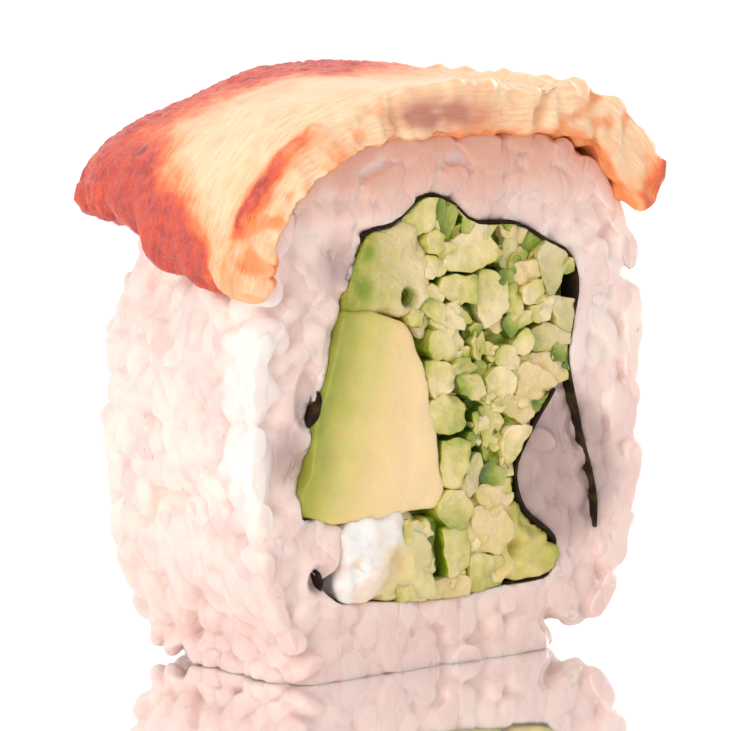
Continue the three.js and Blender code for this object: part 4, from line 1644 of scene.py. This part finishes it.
@dataclass(frozen=True)
class EelFinish:
    """Grilled eel: creamy flesh with fine fibres that browns through orange to a dark red crust."""

    moist: Moist = Moist(0.42, 0.4, 1.0, (1.0, 0.6, 0.4), wet=0.2, wet_roughness=0.25)
    browning: tuple[tuple[float, Colour], ...] = (
        (0.04, shade_of(253, 222, 184)),
        (0.16, shade_of(250, 204, 162)),
        (0.3, shade_of(250, 182, 132)),
        (0.45, shade_of(242, 140, 84)),
        (0.64, shade_of(230, 96, 54)),
        (0.84, shade_of(206, 78, 62)),
        (1.0, shade_of(160, 54, 62)),
    )
    # Orange of the sauce, and of the painted orange shade in the eel's folds, hollows and underside.
    sauce_and_shade: Colour = shade_of(244, 140, 66)
    bruise: Colour = shade_of(178, 98, 86)
    char: Colour = shade_of(120, 50, 62)

    def material(self) -> bpy.types.Material:
        """Browning with fine fibres in the flesh and a grainy, speckled crust."""
        recipe = Recipe("grilled_eel")
        along, over = recipe.kept("along_fibre"), recipe.kept("over_fibre")
        weave = recipe.step("ShaderNodeCombineXYZ", {0: along, 1: over}).outputs[0]
        fibres = recipe.cloud(0.28, 4.0, recipe.stretched(weave, (0.16 * MM, MM, MM)))
        browning = recipe.kept("browning")
        flesh = recipe.sum_of(recipe.cloud(4.0, 3.0), fibres, 0.8)
        value = recipe.sum_of(browning, flesh, 0.22)
        value = recipe.sum_of(value, recipe.product(browning, recipe.cloud(1.5, 4.0)), 0.8)
        value = recipe.sum_of(value, recipe.product(browning, recipe.cloud(0.3, 3.0)), 0.4)
        value = recipe.sum_of(value, browning, -0.6)
        value = recipe.sum_of(value, fibres, 0.22)
        value = recipe.sum_of(value, 1.0, -0.2)
        colour = recipe.scale(value, list(self.browning))
        # Orange: sauce, and painted orange shade in folds, hollows and underneath.
        sauce_and_shade = recipe.sum_of(recipe.kept("sauce_and_shade"), recipe.cloud(1.3, 4.0), 0.5)
        colour = recipe.blend(recipe.fade(sauce_and_shade, 0.4, 1.25, 0.9), colour, self.sauce_and_shade)
        colour = recipe.blend(recipe.product(recipe.kept("bruise"), 0.8), colour, self.bruise)
        char = recipe.sum_of(recipe.kept("char"), recipe.cloud(0.6, 4.0), 1.2)
        colour = recipe.blend(recipe.fade(char, 1.0, 1.4, 0.6), colour, self.char)
        relief = recipe.relief(fibres, 0.2)
        grain = recipe.product(recipe.cloud(0.4, 3.0), browning)
        relief = recipe.relief(grain, 0.35, relief)
        return recipe.served(colour, self.moist, relief)


@dataclass
class Eel:
    """The slice of eel draped over the rice.

    Places on it are given by "across", 0 at the right end and 1 at the left, "back", 0 at the front cut
    and 1 at the back edge, and "up", 0 underneath and 1 on top.
    """

    front: float = -12.8
    back: float = 13.5
    thickness: float = 4.6
    right_angle: float = math.radians(38)
    left_back: tuple[float, ...] = (0.0, 0.2, 0.28, 0.46, 0.58, 0.8, 1.0)
    left_end: tuple[float, ...] = (154.2, 153.8, 151.2, 150.6, 145.4, 143.5, 142.6)
    lift: float = 0.3
    lean: float = 2.6
    knob: float = 0.8
    dip: float = 0.5
    thin_shoulder: float = 1.5
    rolled_edge: float = 1.6
    arch: float = 0.55
    crease: float = 0.9
    resting_reach: float = 9.6
    columns: int = 280
    rows: int = 120
    layers: int = 12
    border_at: tuple[float, ...] = (
        *(0.0, 0.12, 0.36, 0.45, 0.55, 0.625, 0.7, 0.775, 0.85, 0.882),
        *(0.895, 0.92, 0.945, 0.962, 0.975, 1.0),
    )
    red_from: tuple[float, ...] = (
        *(1.2, 1.1, 0.9, 0.52, 0.45, 0.65, 0.745, 0.75, 0.74, 0.68),
        *(0.6, 0.3, 0.14, 0.065, 0.0, -0.1),
    )
    cream_to: tuple[float, ...] = (
        *(0.9, 0.9, 0.55, 0.3, 0.27, 0.36, 0.4, 0.43, 0.46, 0.2),
        *(0.1, 0.04, -0.05, -0.15, -0.2, -0.35),
    )
    flecks: tuple[tuple[float, float, float], ...] = (
        (0.81, 0.29, 0.016),
        (0.79, 0.10, 0.012),
        (0.74, 0.16, 0.012),
        (0.52, 0.19, 0.02),
        (0.34, 0.46, 0.012),
    )
    finish: EelFinish = EelFinish()

    def block(self) -> bpy.types.Object:
        """A block of 1 by 1 by 1, finely divided: a grid extruded layer by layer."""
        bpy.ops.object.select_all(action="DESELECT")
        bpy.ops.mesh.primitive_grid_add(
            x_subdivisions=self.columns, y_subdivisions=self.rows, size=1.0, location=(0.5, 0.5, 0.0)
        )
        piece = bpy.context.active_object
        piece.name = "eel_slice"
        bpy.ops.object.transform_apply(location=True)
        in_edit_mode(piece)
        for _ in range(self.layers):
            step = {"value": (0.0, 0.0, 1.0 / self.layers)}
            bpy.ops.mesh.extrude_region_move(TRANSFORM_OT_translate=step)
        out_of_edit_mode()
        return piece

    def angle(self, across: Points, back: Points) -> Points:
        """The angle round the roll."""
        right = self.right_angle + math.radians(1.6) * np.sin(9 * back)
        left = np.radians(np.interp(back, self.left_back, self.left_end) + 0.5 * np.sin(31 * back))
        return right + (left - right) * across

    def height(self, across: Points, back: Points) -> Points:
        """The thickness, with its lump, its dip, its thin shoulder and its rolled front edge."""
        taper = 1 - 0.08 * across + 0.18 * smooth(0.1, 0.6, back) - 0.2 * smooth(0.85, 1.0, back)
        ends = 0.92 + 0.08 * smooth(0, 0.06, across) * (1 - smooth(0.94, 1.0, across))
        knob = self.knob * bell(across, 0.2, 0.07) * (1 - smooth(0.1, 0.45, back))
        dip = self.dip * bell(across, 0.33, 0.06)
        shoulder = self.thin_shoulder * bell(across, 0.76, 0.17) * smooth(0.2, 0.8, back)
        rolled = smooth(0.5, 0.72, across) * (1 - 0.85 * smooth(0.9, 1.0, across))
        rolled = self.rolled_edge * rolled * (1 - smooth(0.0, 0.16, back))
        return self.thickness * taper * ends + knob - dip - shoulder - rolled

    def top_y(self, across: Points, back: Points) -> Points:
        """Where a point of the top lies along the roll: the front cut leans back, most at the left."""
        start = self.front + self.lean * smooth(0.35, 0.8, across) + 0.5 + 0.25 * np.sin(37 * across)
        return start + (self.back - 0.7 - start) * back

    def under_y(self, across: Points, back: Points) -> Points:
        """Where a point of the underside lies along the roll, with a lobe for each flake of flesh."""
        lobes = 0.28 * np.abs(np.sin(115 * across + 2 * np.sin(9 * across))) * smooth(0.4, 0.7, across)
        start = self.front + 0.6 + 0.35 * np.sin(23 * across) + 0.2 * np.sin(41 * across) - lobes
        end = self.back - 0.4 + 0.4 * np.sin(19 * across)
        return start + (end - start) * back

    def draped(self, across: Points, back: Points, up: Points) -> Points:
        """Lays the block over the rice.

        Args:
            across: from the right end to the left.
            back: from the front cut to the back edge.
            up: from the underside to the top.

        Returns:
            The vertices in millimetres.
        """
        round_side = np.sqrt(np.clip(1 - (2 * up - 1) ** 2, 0, 1)) - 0.75
        from_left, from_right = smooth(0.94, 1.0, across), 1 - smooth(0.0, 0.06, across)
        angle = self.angle(across, back) + 0.05 * round_side * (from_left - from_right)
        scallops = 0.026 * (np.abs(np.sin(26 * back + 2 * np.sin(7 * back))) - 0.6)
        angle = angle + scallops * from_left * (1 - 0.5 * up) - 0.012 * np.sin(38 * back) * from_right
        arch = self.arch * bell(across, 0.2, 0.09) * (1 - smooth(0.0, 0.3, back)) * (1 - up)
        lift = self.lift + up * self.height(across, back) + arch
        y = up * self.top_y(across, back) + (1 - up) * self.under_y(across, back)
        fold = smooth(0.285, 0.30, across) * (1 - smooth(0.30, 0.42, across))
        y = y - (1 - smooth(0.0, 0.05, back)) * (round_side + 0.25) * (0.35 + 0.6 * fold)
        y = y + 0.5 * (round_side + 0.25) * smooth(0.95, 1.0, back)
        shape = ROLL.at(angle, np.clip(y, -self.resting_reach, self.resting_reach), lift)
        shape[:, 1] = y
        return shape

    def relief(self, across: Points, back: Points, up: Points, shape: Points) -> Points:
        """How far each point stands out: lumps at the right end, flakes in the cut, grain in the crust.

        Args:
            across: from the right end to the left.
            back: from the front cut to the back edge.
            up: from the underside to the top.
            shape: the vertices in millimetres.

        Returns:
            One height a vertex.
        """
        at_front = 1 - smooth(0.0, 0.04, back)
        right_end = 1 - smooth(0.26, 0.36, across)
        lumps = right_end * (0.5 * ripple(shape, 4.2, 1.0) + 0.5 * ripple(shape, 1.6, 2.0))
        bands = np.stack([48 * across + 1.5 * up, 3 * back, 1.2 * up], axis=1)
        ragged = 0.38 * ripple(bands, 1.5, 3.0) + 0.18 * ripple(shape, 0.9, 4.0)
        flakes = at_front * (1 - right_end) * ragged
        crust = self.browning(across, back, up, shape)
        grain = crust * (0.16 * ripple(shape, 1.0, 5.0) + 0.12 * ripple(shape, 0.5, 6.0))
        broad = 0.2 * ripple(shape, 6.0, 7.0) + 0.07 * ripple(shape, 1.6, 8.0)
        rim = 0.16 * self.rim(across, back, up)
        crease = -self.crease * bell(across, 0.283, 0.012)
        crease = crease * (1 - smooth(0.1, 0.3, back)) * smooth(0.0, 0.2, up)
        return lumps + flakes + grain + broad + rim + crease

    def browning(self, across: Points, back: Points, up: Points, shape: Points) -> Points:
        """How brown each point is: more behind an uneven border, at the left end and on the front rim.

        Args:
            across: from the right end to the left.
            back: from the front cut to the back edge.
            up: from the underside to the top.
            shape: the vertices in millimetres.

        Returns:
            From 0 for cream to 1 for dark red, one a vertex.
        """
        red_from = np.interp(across, self.border_at, self.red_from)
        cream_to = np.interp(across, self.border_at, self.cream_to)
        past = (back - cream_to) / (red_from - cream_to)
        past = past + 0.2 * ripple(shape, 3.0, 9.0) + 0.12 * ripple(shape, 0.9, 12.0)
        brown = 0.5 * smooth(-0.35, 1.15, past) + 0.21 * smooth(0.8, 1.5, past)
        peeled = (1 - smooth(0.0, 0.02, back)) * (1 - smooth(0.55, 0.9, up))
        corner = smooth(0.9, 0.95, across) * (1 - smooth(0.05, 0.12, back + 0.03 * ripple(shape, 1.4, 15.0)))
        peeled = np.maximum(peeled, 0.75 * corner)
        pink = 0.36 * smooth(0.12, 0.5, back) * smooth(0.24, 0.4, across) * (1 - smooth(0.5, 0.62, across))
        rim = self.rim(across, back, up) * (0.42 + 0.36 * smooth(0.77, 0.82, across))
        tip = 0.8 * (1 - smooth(0.0, 0.05, across)) * smooth(0.1, 0.6, up + 0.4 * ripple(shape, 1.3, 14.0))
        return np.maximum(np.maximum(np.maximum(brown, pink) * (1 - peeled), rim), tip)

    def rim(self, across: Points, back: Points, up: Points) -> Points:
        """1 along the upper edge of the front cut, where it is left of the middle."""
        wave = 0.8 * np.sin(90 * across) + 0.5 * np.sin(170 * across + 1)
        away = np.hypot(24.0 * back, 2.6 * (1 - up))
        fading = smooth(0.69, 0.74, across) * (1 - smooth(0.9, 0.95, across))
        return np.exp(-((away / (0.72 + 0.1 * wave)) ** 2)) * fading

    def sauce_and_shade(self, across: Points, back: Points, up: Points, shape: Points) -> Points:
        """Where orange is painted: sauce at the left of the front cut, in flecks and at the right tip, warm
        bands across the front cut, and painted orange shade in the folds and flakes of the front cut, along
        its low edge, underneath, in the hollow below the arch and between the lumps.

        Args:
            across: from the right end to the left.
            back: from the front cut to the back edge.
            up: from the underside to the top.
            shape: the vertices in millimetres.

        Returns:
            From 0 to 1.2, one a vertex.
        """
        in_front = 1 - smooth(0.0, 0.03, back)
        low_left = in_front * smooth(0.8, 0.97, across) * 0.42
        # Painted orange shade in the folds of the front cut and in the hollow below the arch.
        folds = 0.6 * in_front * (bell(across, 0.83, 0.02) + bell(across, 0.87, 0.015)) * bell(up, 0.3, 0.14)
        hollow = 0.5 * bell(across, 0.21, 0.035) * bell(up, 0.62, 0.16) * in_front
        tip = 0.5 * (1 - smooth(0.02, 0.08, across))
        # Painted orange shade along the low edge of the front cut and underneath.
        low_edge = in_front * (1 - smooth(0.0, 0.25, up)) * (0.15 + 0.8 * bell(across, 0.22, 0.08))
        under = np.maximum(low_edge, 0.8 * (up < 0.04))
        warm = bell(across, 0.42, 0.07) + 0.5 * bell(across, 0.12, 0.05) + bell(across, 0.72, 0.05)
        warm = 0.7 * in_front * warm * (0.4 + 0.6 * bell(up, 0.2, 0.4))
        fleck = np.zeros(len(across))
        for u, v, size in self.flecks:
            fleck = fleck + 0.45 * round_spot(across, back, (u, v), size, 0.5)
        # Painted orange shade in the crevices between the lumps and between the flakes.
        between_lumps = 0.6 * (1 - smooth(0.28, 0.36, across)) * smooth(0.1, 0.7, -ripple(shape, 1.6, 2.0))
        flaked = smooth(0.0, 0.8, ripple(shape, 1.7, 16.0))
        between_flakes = 0.5 * in_front * smooth(0.4, 0.6, across) * flaked
        crevice = between_lumps + between_flakes
        return np.clip(low_left + folds + hollow + tip + under + warm + fleck + crevice, 0, 1.2)

    def char(self, across: Points, back: Points, up: Points, browning: Points) -> Points:
        """Where the crust is charred: along the back edge, at one spot and on the front rim.

        Args:
            across: from the right end to the left.
            back: from the front cut to the back edge.
            up: from the underside to the top.
            browning: how brown each vertex is.

        Returns:
            From 0 to 1, one a vertex.
        """
        at_back = 0.36 * browning * smooth(0.8, 1.0, back) * smooth(0.4, 0.5, across)
        spot = 0.4 * bell(back, 0.62, 0.07) * bell(across, 0.89, 0.02)
        return at_back + spot + 0.3 * bell(across, 0.86, 0.04) * self.rim(across, back, up)

    def bruise(self, across: Points, back: Points, up: Points, shape: Points) -> Points:
        """Where the front cut is purple, in streaks.

        Args:
            across: from the right end to the left.
            back: from the front cut to the back edge.
            up: from the underside to the top.
            shape: the vertices in millimetres.

        Returns:
            From 0 to 1, one a vertex.
        """
        in_front = 1 - smooth(0.0, 0.03, back)
        purple = bell(across - 0.05 * (up - 0.4), 0.5, 0.07) * bell(up, 0.42, 0.3)
        streaks = 1.0 + 0.5 * ripple(shape * [0.7, 1.0, 1.8], 2.6, 10.0)
        streaks = streaks + 0.4 * ripple(shape * [0.5, 1.0, 1.6], 1.0, 13.0)
        return np.clip(in_front * purple * streaks * 1.5, 0, 1)

    def build(self) -> None:
        """Drapes the block, gives it its relief and keeps where its colours go."""
        piece = self.block()
        across, back, up = points_of(piece).T
        put_points(piece, self.draped(across, back, up))
        in_edit_mode(piece)
        bpy.ops.mesh.normals_make_consistent(inside=False)
        out_of_edit_mode()
        shape = points_of(piece)
        relief = self.relief(across, back, up, shape)
        put_points(piece, shape + normals_of(piece) * relief[:, None])
        browning = self.browning(across, back, up, shape)
        kept = {
            "browning": browning,
            "sauce_and_shade": self.sauce_and_shade(across, back, up, shape),
            "char": self.char(across, back, up, browning),
            "bruise": self.bruise(across, back, up, shape),
            "along_fibre": 48.0 * across,
            "over_fibre": 24.0 * back + 4.0 * up,
        }
        for name, values in kept.items():
            record(piece, name, values)
        hand_over(piece, self.finish.material(), "eel", "eel")


# ---------------------------------------------------------------- studio


@dataclass
class Studio:
    """The glossy white table, the white surroundings, the soft boxes and the camera."""

    aim: tuple[float, float, float] = (-8.09, -9.24, 26.10)
    distance: float = 420.0
    azimuth: float = 39.5
    elevation: float = 7.0
    lens: float = 248.2
    surroundings: float = 0.68
    sensor: float = 36.0
    table_side: float = 6000.0
    light_aim: tuple[float, float, float] = (0.0, 0.0, 22.0)
    tint: Colour = shade_of(255, 246, 240)

    def soft_box(self, name: str, place: tuple[float, float, float], side: float, power: float) -> None:
        """Hangs a square soft box that faces the roll.

        Args:
            name: the light's name.
            place: where it hangs.
            side: how wide it is.
            power: in watts.
        """
        light = bpy.data.lights.new(name, "AREA")
        light.size = side * MM
        light.energy = power
        light.color = self.tint[:3]
        box = bpy.data.objects.new(name, light)
        box.location = Vector(place) * MM
        toward = Vector(self.light_aim) * MM - box.location
        box.rotation_euler = toward.to_track_quat("-Z", "Y").to_euler()
        bpy.context.scene.collection.objects.link(box)

    def build_table(self) -> None:
        """Lays the table: white, and a mirror where it is seen at a low angle."""
        bpy.ops.object.select_all(action="DESELECT")
        bpy.ops.mesh.primitive_plane_add(size=self.table_side * MM)
        table = bpy.context.active_object
        table.name = "table"
        recipe = Recipe("glossy_white_table")
        white = recipe.step("ShaderNodeBsdfDiffuse", {"Color": shade_of(252, 252, 252)}).outputs[0]
        inputs = {"Color": (1.0, 1.0, 1.0, 1.0), "Roughness": 0.04}
        mirror = recipe.step("ShaderNodeBsdfGlossy", inputs).outputs[0]
        facing = recipe.step("ShaderNodeLayerWeight", {"Blend": 0.5}).outputs["Facing"]
        share = recipe.fade(facing, 0.45, 0.86, 0.95)
        surface = recipe.step("ShaderNodeMixShader", {0: share, 1: white, 2: mirror}).outputs[0]
        recipe.step("ShaderNodeOutputMaterial", {"Surface": surface})
        table.data.materials.append(recipe.material)

    def build_surroundings(self) -> None:
        """Fills the surroundings with white light, and shows them as pure white."""
        world = bpy.data.worlds.new("white_tent")
        bpy.context.scene.world = world
        world.use_nodes = True
        tree = world.node_tree
        tree.nodes.clear()
        lighting = tree.nodes.new("ShaderNodeBackground")
        lighting.inputs[0].default_value = shade_of(255, 250, 248)
        lighting.inputs[1].default_value = self.surroundings
        seen = tree.nodes.new("ShaderNodeBackground")
        seen.inputs[0].default_value = (1.0, 1.0, 1.0, 1.0)
        seen.inputs[1].default_value = 1.15
        path = tree.nodes.new("ShaderNodeLightPath")
        straight = tree.nodes.new("ShaderNodeMath")
        straight.operation = "MAXIMUM"
        mix = tree.nodes.new("ShaderNodeMixShader")
        output = tree.nodes.new("ShaderNodeOutputWorld")
        links = (
            (path.outputs["Is Camera Ray"], straight.inputs[0]),
            (path.outputs["Is Glossy Ray"], straight.inputs[1]),
            (straight.outputs[0], mix.inputs[0]),
            (lighting.outputs[0], mix.inputs[1]),
            (seen.outputs[0], mix.inputs[2]),
            (mix.outputs[0], output.inputs[0]),
        )
        for start, end in links:
            tree.links.new(start, end)

    def build_camera(self) -> None:
        """Sets the camera up at the left of the cut face, a little above the roll."""
        azimuth, elevation = math.radians(self.azimuth), math.radians(self.elevation)
        level = math.cos(elevation)
        forward = Vector((math.sin(azimuth) * level, math.cos(azimuth) * level, -math.sin(elevation)))
        camera = bpy.data.cameras.new("camera")
        camera.lens = self.lens
        camera.sensor_width = self.sensor
        camera.clip_start, camera.clip_end = 0.01, 20.0
        holder = bpy.data.objects.new("camera", camera)
        holder.location = (Vector(self.aim) - self.distance * forward) * MM
        holder.rotation_euler = forward.to_track_quat("-Z", "Y").to_euler()
        bpy.context.scene.collection.objects.link(holder)
        bpy.context.scene.camera = holder

    def build(self) -> None:
        """Sets the whole studio up."""
        self.build_table()
        self.build_surroundings()
        self.build_camera()
        self.soft_box("left_box", (-600, -230, 240), 420, 1.62)
        self.soft_box("top_box", (-120, 120, 620), 420, 1.2)
        self.soft_box("right_box", (560, 120, 240), 360, 1.4)
        bpy.context.scene.view_settings.view_transform = "Standard"
        log.info("studio ready")


# ---------------------------------------------------------------- the whole dish


def fillings() -> list[SoftFilling]:
    """The soft fillings, from the large slab to the lump of cheese."""
    slab_finish = AvocadoFinish(
        "avocado_slab", (0.956, 0.0, -0.295), (-17.5, 0.0, 15.2), 12.5, patches=0.22, crumble=0.07
    )
    mash_finish = AvocadoFinish(
        "avocado_mash",
        (0.75, 0.0, -0.1),
        (-11.5, 0.0, 34.0),
        7.8,
        lime=shade_of(206, 198, 124),
        yellow=shade_of(222, 206, 154),
        cream=shade_of(232, 216, 172),
        patches=0.8,
        crumble=0.25,
        # The first green spot lies deep in the hollow: painted shade there.
        green_spots=(((-4.2, -9.0, 31.6), 1.4), ((-9.4, -11.0, 32.8), 1.2), ((-9.2, -11.0, 35.6), 0.8)),
    )
    wedge_finish = AvocadoFinish(
        "avocado_wedge", (-0.6, 0.0, -0.6), (13.6, 0.0, 13.2), 16.0, patches=0.6, crumble=0.12
    )
    slab = SoftFilling("avocado_slab", "avocado_slice", "avocado", slab_finish, 3.2, 0.3, rounding=8)
    slab.nudges = (
        Nudge((-10.5, 31.4), 2.0, (0.2, -0.6)),
        Nudge((-4.6, 28.6), 2.6, (0.8, 0.4)),
        Nudge((-1.8, 14.8), 1.6, (0.8, -0.3)),
    )
    mash = SoftFilling("avocado_mash", "avocado_tip", "avocado", mash_finish, 2.2, 0.5, set_back=0.15)
    mash.hollows = (Hollow((-4.3, 31.6), 0.85, 2.6),)
    mash.nudges = (Nudge((-4.6, 28.6), 2.2, (1.3, 1.1)), Nudge((-10.5, 31.4), 2.0, (0.2, -0.9)))
    wedge = SoftFilling("avocado_wedge", "avocado_corner", "avocado", wedge_finish, 1.7, 0.6, set_back=0.2)
    wedge.hollows = (Hollow((7.6, 9.3), 0.6, 1.2),)
    wedge.nudges = (Nudge((12.4, 8.8), 2.4, (1.3, -0.5)),)
    wedge.rounding = 2
    cheese = SoftFilling("cream_cheese_lump", "cream_cheese", "cream_cheese", CreamCheeseFinish(), 2.0, 0.65)
    cheese.set_back = -0.1
    cheese.nudges = (Nudge((-13.6, 9.4), 2.2, (1.8, 0.2)), Nudge((-7.2, 12.6), 1.8, (0.5, 0.6)))
    return [slab, mash, wedge, cheese]


def main() -> None:
    """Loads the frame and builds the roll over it."""
    logging.basicConfig(level=logging.INFO, format="%(message)s")
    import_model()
    Studio().build()
    Rice().build()
    Nori().build()
    for filling in fillings():
        filling.build()
    Cucumber().build()
    Eel().build()


if __name__ == "__main__":
    main()
